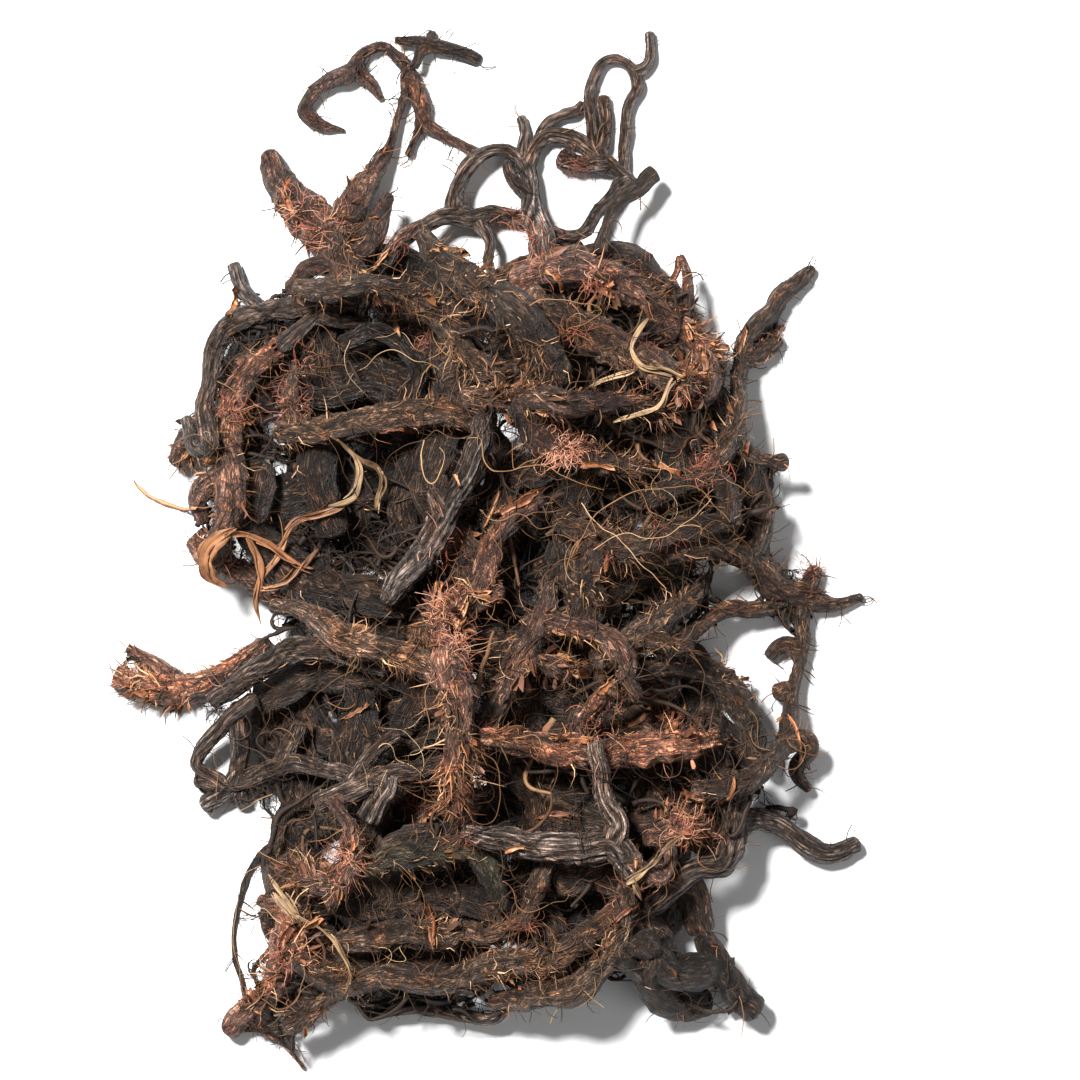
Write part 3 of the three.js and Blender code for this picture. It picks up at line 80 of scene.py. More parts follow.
# name, bark, stems that end in a broken face, stems as [x, y, radius] from above;
# the second and later stems fork from an earlier one
rhizomes = [
    ("rhizome_under_upper_left", "dark", (), [
        [[-88.3, 56, 4], [-66.7, 58, 5], [-46.7, 62.7, 5], [-23.3, 65, 5], [-5, 59.3, 4]],
        [[-63.3, 58.7, 4.3], [-57.3, 41.7, 4.3], [-63.3, 20.7, 3.3]],
        [[-31.7, 64.3, 4.3], [-30, 76.7, 3.7], [-39.3, 85, 3]],
        [[-83.3, 56.3, 3.7], [-86, 43.3, 3.7], [-83.3, 30, 3.7], [-86, 16.7, 3]],
    ]),
    ("rhizome_under_upper_right", "dark", (), [
        [[3.3, 62.7, 4.3], [23.3, 68.3, 5.3], [44, 65, 5.3], [63.3, 56, 5], [78, 42.7, 3.7]],
        [[36.7, 66.7, 4.3], [40.7, 80, 4], [30, 92.7, 3]],
        [[53.3, 61, 4.3], [54, 43.3, 4.3], [46, 26, 3.3]],
    ]),
    ("rhizome_under_mid_left", "dark", (), [
        [[-92.7, 18, 3.7], [-73.3, 12.7, 5], [-52.7, 16, 5], [-32.7, 20.7, 4.7], [-18, 33.3, 3.3]],
        [[-66.7, 13.3, 4.3], [-68.7, -4, 4.3], [-59.3, -22, 3.7]],
        [[-48, 16.7, 3.7], [-44.7, 5, 3.7], [-37.3, -4, 3.5], [-27.3, -12.7, 3.3], [-16.7, -20.7, 3]],
    ]),
    ("rhizome_under_mid_right", "dark", (), [
        [[74, 26, 3.7], [55, 19.3, 5], [35.3, 20.7, 5], [18.3, 13.3, 4.7], [10, -3.3, 3.7]],
        [[55, 19.3, 4.3], [60.7, 2.7, 4.3], [55, -16.7, 3.7]],
        [[36.7, 20.7, 4.3], [38.7, 3.3, 4.3], [33.3, -15, 3.3]],
    ]),
    ("rhizome_under_low_left", "dark", (), [
        [[-71.7, -50, 3.7], [-59.3, -65, 5], [-63.3, -85, 5], [-66.7, -103.3, 4.7], [-61.7, -125, 4.7],
         [-52.7, -144, 3.7]],
        [[-61.3, -73.3, 4.3], [-46, -66.7, 4.3], [-31.7, -55, 3.3]],
        [[-65.3, -96.7, 4.3], [-48.3, -91.7, 4.3], [-32.7, -94, 3.3]],
        [[-66, -100.7, 0.73], [-76, -104, 0.6], [-82, -113.3, 0.6], [-85, -126.7, 0.57], [-85.7, -140, 0.57],
         [-83, -150, 0.57], [-82.3, -156, 0.53]],
        [[-70.7, -51.7, 3.7], [-76, -63.3, 3.7], [-68.7, -76, 3.3]],
    ]),
    ("rhizome_under_low_centre", "dark", (), [
        [[-12.7, -55, 4], [-23.3, -72.7, 5], [-24, -91.7, 5], [-29.3, -113.3, 5], [-21.7, -135, 4.7],
         [-1.7, -148.3, 3.7]],
        [[-24, -86.7, 4.3], [-6.7, -91.7, 4.3], [10, -86.7, 3.7]],
        [[-27.3, -121.7, 4.3], [-11.7, -120, 4.3], [5, -115, 3.7]],
        [[-23.3, -72.7, 4], [-10, -68, 4], [3.3, -74, 3.7]],
    ]),
    ("rhizome_under_low_right", "dark", (), [
        [[50, -50, 4.3], [59.3, -68.3, 5], [53.3, -91.7, 5.3], [61.7, -111.7, 5], [53.3, -130, 4.7],
         [36.7, -140, 4]],
        [[54.7, -83.3, 4.7], [71.7, -88.3, 4], [80, -96.7, 3]],
        [[58, -105, 4.3], [36.7, -121.7, 4.3], [19.3, -128.3, 3.7]],
        [[59.3, -68.3, 4], [70, -54, 4], [66.7, -37.3, 3.7]],
        [[66.7, -60, 4], [81.3, -68.7, 3.7], [85, -83.3, 3]],
    ]),
    ("rhizome_under_centre", "dark", (), [
        [[-50, -38.3, 4], [-29.3, -27.3, 4.7], [-6.7, -29.3, 5], [16.7, -33.3, 5], [38.3, -42.7, 5],
         [57.3, -50, 3.7]],
        [[-6.7, -29.3, 4.3], [3.3, -13.3, 4], [0.7, 3.3, 3.3]],
        [[23.3, -35.3, 4.3], [23.3, -19.3, 4], [18.3, -6.7, 3.3]],
        [[-20, -28, 4.3], [-21.7, -43.3, 4], [-30, -57.3, 3.3]],
    ]),
    ("rhizome_inner_upper_left", "dark", (), [
        [[-52.7, 83.3, 3.7], [-56, 63.3, 4.3], [-53.3, 43.3, 4.3], [-57.3, 23.3, 4], [-51.7, 3.3, 3.3]],
        [[-55, 53.3, 3.7], [-40, 56, 3.3], [-25, 51.7, 3]],
        [[-53.3, 43.3, 3.7], [-37.3, 38.7, 3.7], [-24, 30, 3.7], [-30, 13.3, 3.3], [-27.3, 0, 3]],
    ]),
    ("rhizome_inner_upper_centre", "dark", (), [
        [[-13.3, 82.7, 3.7], [-16.7, 63.3, 4.3], [-14, 43.3, 4.3], [-20, 23.3, 3.7]],
        [[-15.7, 54, 3.7], [0, 56, 3.3], [13.3, 49.3, 3]],
        [[-14, 43.3, 4], [-2.7, 33.3, 4.3], [4, 20, 4.3], [2.7, 3.3, 4]],
        [[4, 20, 4], [16.7, 23.3, 3.7], [23.3, 34, 3.3]],
        [[-20, 23.3, 3.7], [-16.7, 6.7, 4], [-7.3, -6.7, 4], [-3.3, -20.7, 3.3]],
        [[-13.3, 80, 3.7], [-23.3, 90, 3.7], [-36, 92, 3.7], [-46, 88, 3.3]],
        [[-13.3, 80, 3.7], [3.3, 84.7, 3.7], [16.7, 92, 3.3], [30, 96.7, 3]],
    ]),
    ("rhizome_inner_upper_right", "dark", (), [
        [[23.3, 80, 4], [28.3, 60, 4.3], [23.3, 40, 4.3], [30, 20, 4], [25, 0, 3.3]],
        [[25.7, 50, 4], [43.3, 46.7, 3.7], [58.3, 33.3, 3.3]],
        [[25, 0, 3.7], [27.3, -16.7, 4], [36, -30.7, 3.7]],
        [[24, 76.7, 4], [34, 91.3, 4], [46.7, 92, 4], [57.3, 83.3, 3.7], [66.7, 69.3, 3.3]],
    ]),
    ("rhizome_inner_right", "dark", (), [
        [[66.7, 46.7, 3.7], [62, 30, 4.3], [66.7, 10, 4], [60.7, -10, 3.7], [53.3, -26.7, 3.3]],
        [[64.7, 36.7, 3.7], [77.3, 32.7, 4], [85.3, 20, 4], [89, 6.7, 3.7], [85.3, -3.3, 3]],
        [[66.7, 11.7, 3.7], [76, 10.7, 4], [81.7, 16.7, 3.3]],
        [[60.7, -10, 3.7], [46.7, -11.7, 3.7], [36.7, -20, 3.7], [30.7, -33.3, 3.3]],
    ]),
    ("rhizome_inner_left", "dark", (), [
        [[-76.7, 24, 3.7], [-79.3, 4, 4], [-64, -10.7, 4.3], [-46.7, -17.3, 4], [-29.3, -20, 3.7]],
    ]),
    ("rhizome_inner_low_left", "dark", (), [
        [[-53.3, -36.7, 3.7], [-43.3, -53.3, 4], [-46.7, -73.3, 4.3], [-39.3, -93.3, 4.3],
         [-43.3, -113.3, 3.7]],
        [[-45.3, -63.3, 3.7], [-30, -68.3, 3.3], [-16.7, -63.3, 3]],
        [[-49.3, -44, 3.7], [-62.7, -46.7, 3.7], [-76, -54, 3.3]],
        [[-49.3, -44, 3.7], [-33.3, -44, 3.7], [-23.3, -50.7, 3.3], [-29.3, -62.7, 3.3]],
    ]),
    ("rhizome_inner_low_centre", "dark", (), [
        [[5, -33.3, 3.7], [13.3, -53.3, 4.3], [10, -73.3, 4.3], [18.3, -91.7, 4.3], [13.3, -113.3, 4],
         [20, -133.3, 3.7]],
        [[12.3, -81.7, 3.7], [28.3, -83.3, 3.7], [43.3, -76.7, 3.3]],
        [[10.7, -46.7, 3.7], [26.7, -53.3, 3.7], [44, -61.7, 4], [63.3, -66.7, 4], [77.3, -78.3, 3.3]],
        [[5, -33.3, 3.7], [-6, -37.3, 3.7], [-16, -50, 3.7], [-6.7, -62.7, 3.3]],
        [[11.3, -68.3, 3.7], [26.7, -65.3, 3.7], [40.7, -70.7, 3.7], [54, -64.7, 3.3]],
        [[18.3, -91.7, 4], [33.3, -94, 4], [47.3, -97.3, 4], [63.3, -94, 3.7], [75.3, -103.3, 3.3]],
    ]),
    ("rhizome_inner_bottom_left", "dark", (), [
        [[-73.3, -130, 3.7], [-53.3, -120, 4], [-36.7, -121.7, 4], [-16.7, -120, 4], [3.3, -122.7, 3.7]],
        [[-36.7, -121.7, 3.7], [-34.7, -107.3, 3.7], [-20, -100.7, 3.7], [-3.3, -106.7, 3.7],
         [0, -120, 3.3]],
        [[-71.7, -129.3, 3.7], [-68.3, -118.3, 3.7], [-71.3, -109.3, 3]],
        [[-63.3, -125, 3.7], [-56.7, -136.7, 4], [-60, -150, 3.7], [-68.3, -157.3, 3]],
        [[-56.7, -136, 3.7], [-40, -140.7, 3.7], [-23.3, -142, 3.7], [-6.7, -140, 3.7], [10, -145.3, 3.3],
         [24, -148.7, 3.3]],
    ]),
    ("rhizome_inner_bottom_right", "dark", (), [
        [[23.3, -113.3, 4], [40, -110, 4], [50, -126.7, 4], [57.3, -140, 3.7]],
        [[36.7, -111, 4], [53.3, -113.3, 4], [66.7, -116.7, 3.7], [70.7, -130, 3.3]],
        [[50, -126.7, 4], [36.7, -132, 4], [25, -140.7, 3.7]],
    ]),
    ("rhizome_bottom_edge", "grey", (), [
        [[-39.3, -158.3, 3.3], [-30.7, -156.7, 3], [-19.3, -157.7, 2.7], [-7.3, -160, 2.3],
         [1.3, -160.3, 2.2], [8, -153.3, 1.8], [16.7, -148.3, 1.7]],
    ]),
    ("rhizome_bottom_round_end", "brown", (), [
        [[1.7, -154, 3], [15, -152, 4.3], [28.3, -150, 5], [37.3, -141.7, 4.3], [44, -130, 3.7],
         [46, -116.7, 3]],
    ]),
    ("rhizome_lower_right_fork", "dark", (), [
        [[50, -133.3, 3], [59.3, -143.3, 4], [68.3, -144, 4], [77.3, -144, 3.3], [83.3, -152, 3],
         [88.3, -157.3, 3.5]],
        [[78, -145.3, 2.7], [74, -137.3, 3], [71, -132.7, 2.3]],
        [[55, -138.3, 2.7], [51.7, -146, 2.7], [57.3, -153.3, 3.3], [66.7, -157.3, 2.8], [73.3, -157, 1.7]],
        [[51.7, -146, 2], [44, -139, 1.8]],
        [[62.7, -155.3, 2.3], [72, -153.3, 1.7]],
    ]),
    ("rhizome_right_lower_arm", "grey", (), [
        [[55, -121.7, 3.7], [66.7, -110.7, 4], [78, -107.3, 3.7], [82, -97.3, 4], [82.7, -86.7, 4],
         [87.3, -79.3, 3.7]],
        [[82.3, -94, 3.3], [90.7, -93.3, 3.7], [99.3, -96.7, 3.5], [106.7, -102.7, 3.5], [115, -105.3, 3.3],
         [122.7, -102.3, 2.8]],
    ]),
    ("rhizome_right_knee", "brown", (), [
        [[50, -44, 4], [63.3, -42, 4.3], [74, -45.3, 4.7], [82.7, -53.3, 4.7], [87.3, -62.7, 4.3],
         [88.7, -72, 3.7]],
    ]),
    ("rhizome_right_upper_stick", "brown", (), [
        [[74, 23.3, 3.7], [81.7, 36, 3.7], [83, 48, 2.7], [84, 59.3, 2.7], [86.7, 68.3, 3], [94, 76.7, 3.2],
         [100.7, 84.3, 3], [108.3, 91, 1.5]],
        [[84.7, 60.7, 2.7], [90.7, 63.3, 3], [96.7, 67.3, 2]],
        [[81.7, 34, 3], [87.3, 28, 2.7], [92.7, 26, 2.3], [98, 26.3, 2.7]],
    ]),
    ("rhizome_right_arm", "brown", (), [
        [[36.7, -8.3, 3.7], [53.3, -5.3, 4.3], [70.7, -1.7, 4.7], [86, -5.3, 5], [95, -15, 4.7],
         [105, -20, 4], [116, -22, 2.2], [124.7, -19.3, 1.3]],
        [[86.7, -5.3, 4.3], [91.3, 4, 4.3], [92.7, 13.3, 3]],
        [[105, -18, 3], [109.3, -10.7, 3]],
        [[105.3, -21.3, 3], [105, -33.3, 2.3], [104, -42.7, 2], [102, -50.7, 2.3], [100.7, -59.3, 2.5],
         [98, -68.3, 3.3], [91.7, -76, 4], [83.3, -82, 4], [70, -83.3, 3.7]],
        [[104.7, -36.7, 2], [98.3, -35.3, 2.7], [94.3, -38.7, 2]],
        [[102, -50, 2.3], [97, -51.3, 3]],
        [[98, -68.3, 2.7], [104.3, -67, 3.2], [107.3, -70.7, 2.7], [102.3, -76, 2.7], [106.7, -83.3, 1.7]],
        [[99.3, -18, 2.3], [94.7, -22, 2.2], [87.3, -23.3, 2.3], [80, -23.7, 2.5], [70, -28.7, 2.7],
         [56.7, -37.3, 2.7]],
    ]),
    ("rhizome_left_low", "grey", (0,), [
        [[-98, -81, 2.3], [-86, -82, 2.7], [-74, -77.3, 3], [-63.3, -74.7, 3], [-50.7, -77.3, 3],
         [-39.3, -83.3, 3]],
        [[-89.3, -81.7, 2.3], [-93.3, -79.3, 2], [-98.7, -75, 2.2], [-95.3, -68.7, 2.5], [-88, -60.7, 2.7],
         [-79.3, -53.3, 2.7]],
        [[-85.3, -82, 2.3], [-84, -76, 2.7], [-83.3, -67.3, 3.3], [-84, -56, 3]],
        [[-75.3, -78, 2.7], [-88, -85, 2.7], [-95, -88.7, 3.3]],
        [[-84.7, -83.3, 2], [-83.3, -87.7, 2.7]],
        [[-70, -76, 2.7], [-66.7, -70, 3.3], [-64, -62.7, 3]],
    ]),
    ("rhizome_left_end_club", "red", (0, 1), [
        [[-76, -35, 2.3], [-85, -41.3, 3], [-95, -47.3, 3], [-105, -50, 4.3], [-115, -49.3, 4.5],
         [-126, -46, 3.3]],
        [[-104, -48, 2.7], [-113.3, -41.3, 2.3], [-122, -36.3, 1.8]],
    ]),
    ("rhizome_left_plank", "grey", (0,), [
        [[-35, -42.7, 3], [-50, -37.3, 3.7], [-63.3, -36.7, 4], [-76, -42.3, 4], [-86, -49.7, 3.3],
         [-93, -54, 2.7]],
    ]),
    ("rhizome_left_red_vertical", "red", (), [
        [[-67.3, 66, 3], [-77.3, 58.3, 4], [-85.3, 47.3, 4.7], [-87.3, 33.3, 5], [-84.7, 18.3, 4.7],
         [-88.3, 3.3, 3.7], [-93.3, -5.3, 4.3], [-99, -1, 2.7]],
        [[-92, -4, 3], [-82.3, -11.7, 3.7], [-71.7, -19.3, 2.7]],
        [[-86.7, 40, 3.3], [-94.7, 38, 4], [-101.3, 32.7, 4], [-105.3, 26.7, 2.7]],
        [[-85.7, 22.7, 3.3], [-92.7, 19.3, 3.3], [-97.3, 13.3, 3], [-95.7, 6.7, 2.3]],
    ]),
    ("rhizome_left_dark_bend", "grey", (1,), [
        [[-46, 80, 3], [-60, 78.7, 3.3], [-74, 76, 3.8], [-86, 72.3, 4.2], [-91.7, 65, 3.5], [-93, 55, 3.3],
         [-95, 44, 3.2], [-92.7, 30.7, 3.7]],
        [[-75.3, 75.7, 2.3], [-80, 80.7, 2.3], [-84, 86.3, 2.2], [-86.3, 92.7, 2]],
        [[-93.3, 33.3, 2.7], [-97.3, 30.7, 3], [-100.7, 40, 2]],
        [[-51.7, 79.3, 2.3], [-61.3, 71.3, 2.8], [-68.7, 64.7, 2.7]],
        [[-56, 75, 2.3], [-48.7, 72.7, 2.3], [-40.7, 72.7, 2.3]],
    ]),
    ("rhizome_upper_left_crown", "red", (), [
        [[-74, 128.7, 3.3], [-71.3, 122, 4], [-66.7, 114, 5.7], [-59.3, 106, 6.7], [-50, 95.3, 5.7],
         [-45, 83.3, 4.3]],
        [[-53.3, 99.3, 4.7], [-46.7, 109.3, 5], [-42.7, 118, 4.3], [-36.7, 126.7, 3], [-33.3, 134, 1.7],
         [-31.3, 141.3, 1.2], [-28.7, 150, 1.5], [-28, 159.3, 1.7]],
        [[-46.7, 88.3, 3], [-58, 90.7, 3], [-66, 84, 2.7]],
        [[-48.7, 92.7, 3.3], [-40, 100, 3.7], [-36.7, 109.3, 2.7], [-34, 114.7, 2]],
        [[-28, 158, 1.7], [-30, 161.3, 2], [-36, 166, 1.8], [-43.3, 163.3, 2.2], [-46.7, 157.3, 3.2],
         [-55, 154.3, 2.3], [-60.7, 148.3, 2], [-62.3, 143.3, 2.5], [-55.3, 139.7, 1.7],
         [-49.3, 137.7, 0.6]],
        [[-46, 158, 2.3], [-40.3, 153.3, 2.2], [-37, 149, 1.3]],
        [[-28.7, 159.3, 2], [-25.3, 154, 2.5], [-22.7, 146.7, 2.8], [-21.7, 140, 2.2], [-15.3, 136.3, 2],
         [-8.7, 132.3, 1.7], [-2.7, 128.7, 2]],
        [[-22.3, 142, 2], [-25.3, 135.3, 1.3], [-27.3, 130, 1.5]],
    ]),
    ("rhizome_top_stick", "dark", (), [
        [[-31.3, 168, 1], [-20, 166.7, 1.5], [-11.7, 164.7, 1.5], [-4, 161.7, 1.5]],
        [[-20, 166.7, 1.2], [-22.3, 164.7, 1.3], [-25.3, 159, 1]],
        [[-20, 166.7, 1.2], [-19.3, 170.7, 1]],
    ]),
    ("rhizome_great_arch", "grey", (), [
        [[-34.7, 92.7, 3], [-29.3, 100, 3], [-20.7, 106, 2.8], [-11.7, 109, 3.3], [-4, 108, 3.2],
         [2, 109.7, 2.7], [10, 108, 2.7]],
        [[-12, 109.3, 3], [-11, 116.7, 2.7], [-8, 124, 2.7], [-2.7, 129.3, 2.3], [3.3, 131.3, 2.2],
         [8.7, 129.3, 2.2], [12.3, 125.3, 2.3]],
        [[-4, 106.7, 2.3], [0.3, 100, 1.8], [-0.7, 94, 1.7], [0.7, 88, 1.3]],
        [[11.7, 127.3, 2.3], [13.3, 120, 2.7], [14, 112, 3.3], [17.3, 101.3, 4.3], [19.3, 92, 4.7],
         [23.3, 80, 4.3]],
        [[13.3, 116.7, 2.7], [8, 120, 2.3], [5.7, 126.7, 1.7]],
        [[11.7, 126.7, 2], [11.3, 131.3, 2], [12.3, 136.7, 1.8], [10.7, 141.7, 1.7]],
        [[12.3, 125.7, 2.2], [15.7, 132.3, 2.5], [21, 136, 2.5], [28.7, 134.7, 2.7], [36, 129.7, 2.7],
         [42.7, 124, 2.8], [49, 119, 2]],
        [[45.3, 120.7, 2.7], [40, 114.3, 2.2], [36, 110, 2], [32.7, 104, 2.2], [27.3, 101.7, 2],
         [21.7, 103.3, 1.7]],
        [[38.7, 127.3, 2.7], [32, 126, 2.7], [25.3, 128, 4]],
        [[15.3, 131.3, 1.5], [18.7, 139.3, 1.7], [24, 142.7, 1.7], [28.7, 144, 2], [30.7, 146.7, 1.3]],
        [[36.7, 129.3, 2.3], [34.3, 139.3, 2], [33.3, 148.3, 1.8], [35.3, 156.7, 2], [39.3, 161.3, 1.8],
         [44, 161, 1.8], [48.3, 157.3, 2], [49.3, 151.3, 1.8], [46.7, 145.3, 1.8], [46, 138, 2],
         [44.7, 130.7, 1.8], [45.7, 122.7, 1.8]],
        [[48, 157.7, 1.7], [52.7, 159, 1.8], [54, 164, 1.7], [53.7, 170, 1.7]],
        [[36.7, 130, 2.3], [38.7, 139.3, 2.2], [38.3, 148.3, 2]],
    ]),
    ("rhizome_right_top_stick", "dark", (), [
        [[55, 122.7, 1.7], [50, 118, 1.8], [43.3, 112.3, 1.7], [39, 106, 1.5], [36.7, 96.7, 1.7]],
    ]),
    ("rhizome_upper_mat_left", "brown", (), [
        [[-63.3, 83.3, 2.7], [-51.7, 82.7, 3.7], [-38.3, 84.7, 4], [-26, 79.3, 4.3], [-14, 71.3, 4.3],
         [-6.7, 60, 4.3], [3.3, 52.7, 4]],
    ]),
    ("rhizome_upper_mid", "grey", (), [
        [[-48.3, 65, 3], [-38.3, 70, 3], [-28.3, 64, 3], [-23.3, 56, 3.3], [-29.3, 47.3, 3], [-39.3, 50, 3],
         [-53.3, 47.3, 3.3], [-63.3, 49.3, 3]],
    ]),
    ("rhizome_upper_red_mass", "red", (), [
        [[10, 86, 4.3], [22.7, 89.3, 4.7], [35.3, 88.7, 5.3], [47.3, 83.3, 4.7], [59.3, 74, 4.3],
         [68.7, 65.3, 4], [74, 56, 4], [70, 46.7, 3.3]],
        [[60.7, 72.7, 2.7], [64.7, 76.7, 3], [66.7, 82.7, 2], [65.7, 89.3, 1.7], [64, 94.7, 1]],
        [[64.3, 93.3, 1], [60, 86.7, 1], [56.3, 83, 0.6]],
        [[70, 63.3, 3], [76.3, 62.7, 3.2]],
    ]),
    ("rhizome_upper_thick_right", "brown", (), [
        [[14, 79.3, 4.7], [27.3, 71.7, 6], [40.7, 64, 6], [54, 58, 5], [66.7, 50.7, 4]],
    ]),
    ("rhizome_upper_thick", "brown", (), [
        [[-21.7, 100.7, 3], [-16.7, 94, 4.3], [-6, 85.3, 5.7], [7.3, 76, 6.3], [16.7, 65, 6], [22, 53.3, 5]],
    ]),
    ("rhizome_cross_left", "brown", (), [
        [[-69, 36, 4], [-56, 36.7, 4.5], [-42.7, 38.7, 4.5], [-29.3, 41.3, 4.5], [-15, 42, 4.3],
         [0, 40, 3.7]],
        [[-64.7, 36.7, 2.7], [-66, 46.7, 2.7], [-64, 56.7, 2]],
    ]),
    ("rhizome_cross_right", "red", (), [
        [[-7.3, 47, 3.3], [10, 46.7, 4], [27.3, 45.3, 4], [45, 45.3, 3.5], [59.3, 40.7, 3]],
        [[10, 46.7, 3.3], [14, 36.7, 4], [23.3, 30.7, 5], [34, 26, 4], [50, 23.3, 3.3]],
    ]),
    ("rhizome_grey_grooved", "grey", (), [
        [[-33.3, -19, 3.7], [-30, -13.3, 4.2], [-23, -6, 4.3], [-17.3, 2.3, 4.3], [-12.7, 11.7, 4],
         [-8, 20.7, 3.7], [-3.7, 30.7, 3.7], [-2, 40, 3]],
        [[-14.7, 8, 3.3], [-18.7, 15.3, 2.7]],
    ]),
    ("rhizome_olive_mat", "brown", (), [
        [[23.3, 6, 3.3], [34, 1.3, 4.3], [46, -2.7, 4.3], [57.3, 1.3, 4], [70, 4.7, 3.7], [81.7, 6.7, 3]],
        [[36.7, 0, 3.3], [32.7, -11.7, 3.7], [36.7, -20, 3]],
        [[80, 6.7, 3], [77.3, 18, 4], [66.7, 20, 4], [53.3, 13.3, 3.3]],
    ]),
    ("rhizome_mid_right_stub", "brown", (1,), [
        [[36, -40, 3.3], [46, -34, 4.3], [56, -27.3, 4.7], [64.7, -22, 4], [69.3, -17.3, 3]],
        [[50, -31.3, 3], [59.3, -34.7, 3], [67.3, -36, 3]],
    ]),
    ("rhizome_diagonal_red", "red", (1,), [
        [[20.7, -16.7, 3], [16.7, -27.3, 4], [11.3, -37.3, 4.3], [5.3, -48, 4.2], [0.7, -57.3, 3.7],
         [-3.3, -66.7, 3]],
        [[10.7, -38, 3], [16, -40, 3], [22, -42.3, 3.7], [27.3, -44.7, 4]],
        [[16.7, -26.7, 3], [27.3, -28.7, 3.7], [36.7, -31.3, 3.3], [42.7, -37.3, 3.8], [45.7, -44.7, 3.7],
         [48.7, -51.3, 2.3]],
    ]),
    ("rhizome_left_mid_shaggy", "brown", (), [
        [[-71.7, -22, 2.7], [-60, -24, 3.3], [-51.3, -30.7, 4.2], [-40.7, -35.7, 4.7], [-29.3, -38, 4.5],
         [-19.3, -42.7, 4], [-11.3, -50, 3.3]],
    ]),
    ("rhizome_low_grooved", "grey", (2,), [
        [[-56, -87.3, 3], [-46.7, -83.3, 3.7], [-35, -79, 3.8], [-23.3, -76.7, 3.5], [-12.7, -74, 3]],
        [[-46.7, -82.7, 2.7], [-39.3, -71.3, 2.7], [-31.3, -65.3, 2.3]],
        [[-32.7, -78.7, 3.3], [-36.7, -86, 3.8], [-40.3, -92.7, 3.8]],
    ]),
    ("rhizome_big_pink", "red", (1, 2), [
        [[-3.3, -65, 3.3], [8.3, -67, 4.5], [21.7, -69.3, 4.8], [35, -71.7, 5], [48.3, -70, 5.7],
         [62.7, -69, 5.2], [74.7, -66, 3]],
        [[27.3, -68.3, 3], [29.3, -60.7, 2.3], [31.3, -56, 2]],
        [[29.7, -59.3, 2], [34.7, -53.3, 2.3], [41, -49.3, 2.5]],
    ]),
    ("rhizome_centre_post", "red", (), [
        [[3.3, -17.3, 2.7], [-4.7, -19.3, 4], [-12.7, -27.3, 5], [-12.7, -38.3, 5.7], [-10, -50.7, 5.3],
         [-9.3, -64, 5.3], [-10.3, -76.7, 5.2], [-11, -88.7, 4]],
        [[-14, -28.3, 3.3], [-18, -22.7, 2.7], [-16.7, -16.7, 2.3]],
        [[-2.7, -19, 3.7], [-2, -11.7, 3.7], [0.7, -1.7, 4.2], [7.3, 7.3, 4], [16.7, 13.3, 3.3]],
    ]),
    ("rhizome_olive_root", "olive", (), [
        [[-40.7, -109.3, 3], [-31.7, -105.3, 4.3], [-19.3, -104, 4.7], [-6.7, -103.3, 4], [0, -110.7, 4],
         [4.3, -121.7, 2.7]],
    ]),
    ("rhizome_flaky_knob", "red", (), [
        [[-51.7, -86.7, 2], [-46, -94.7, 2.7], [-46, -103.3, 4], [-48, -112, 4], [-52, -120.7, 2.7]],
        [[-48, -112, 3.3], [-54, -114, 4], [-62.7, -110.7, 4], [-69.3, -108.7, 3]],
    ]),
    ("rhizome_lower_brown", "brown", (), [
        [[-49.3, -134, 3.7], [-38.3, -132.7, 4], [-27.3, -131.3, 4.7], [-16.7, -132.7, 4.7],
         [-8, -130, 3.3]],
        [[-9.3, -130, 2.7], [-1.3, -132, 2.7], [7.3, -129.3, 3], [14, -122, 3.3], [16.7, -114, 3.3],
         [19.3, -107.3, 3]],
    ]),
    ("rhizome_bottom_left_leg", "red", (), [
        [[-87.3, -164, 3.3], [-81.3, -158, 3.7], [-74.7, -151.3, 4], [-68.7, -142.7, 4.7],
         [-66, -132.7, 5.3], [-68, -124, 4], [-76, -120, 2]],
        [[-81.3, -158.7, 0.8], [-76, -165.7, 0.67], [-70.7, -168, 0.67], [-66.3, -172, 0.67],
         [-62.7, -177.7, 0.8]],
    ]),
    ("rhizome_bottom_mat", "brown", (), [
        [[-63.3, -140, 3.3], [-48.3, -148.3, 3.7], [-32.7, -145, 3.7], [-16.7, -148.3, 4], [0, -141.7, 4],
         [18.3, -140, 4], [33.3, -133.3, 3.3]],
        [[-50, -147.7, 3], [-59.3, -156.7, 3.2], [-66.7, -162.3, 3.3]],
    ]),
    ("rhizome_grey_knuckle", "grey", (), [
        [[-7.3, -97.3, 3], [4, -99.3, 4], [17.3, -102, 4.7], [30, -102, 5], [40.7, -102, 5],
         [48.7, -110.7, 4]],
        [[40, -100.7, 4], [42.7, -94.7, 3.3], [38.7, -86.7, 3.3], [36.7, -77.3, 3], [35.3, -68.3, 2.7]],
    ]),
    ("rhizome_right_low_knob", "red", (), [
        [[53.3, -99.3, 3.3], [62, -95.3, 4.3], [66.7, -97.3, 3.3]],
        [[59.3, -98.7, 2.7], [60.7, -107.3, 2.3], [56, -112, 2.7], [49.3, -107.3, 2.3]],
    ]),
]

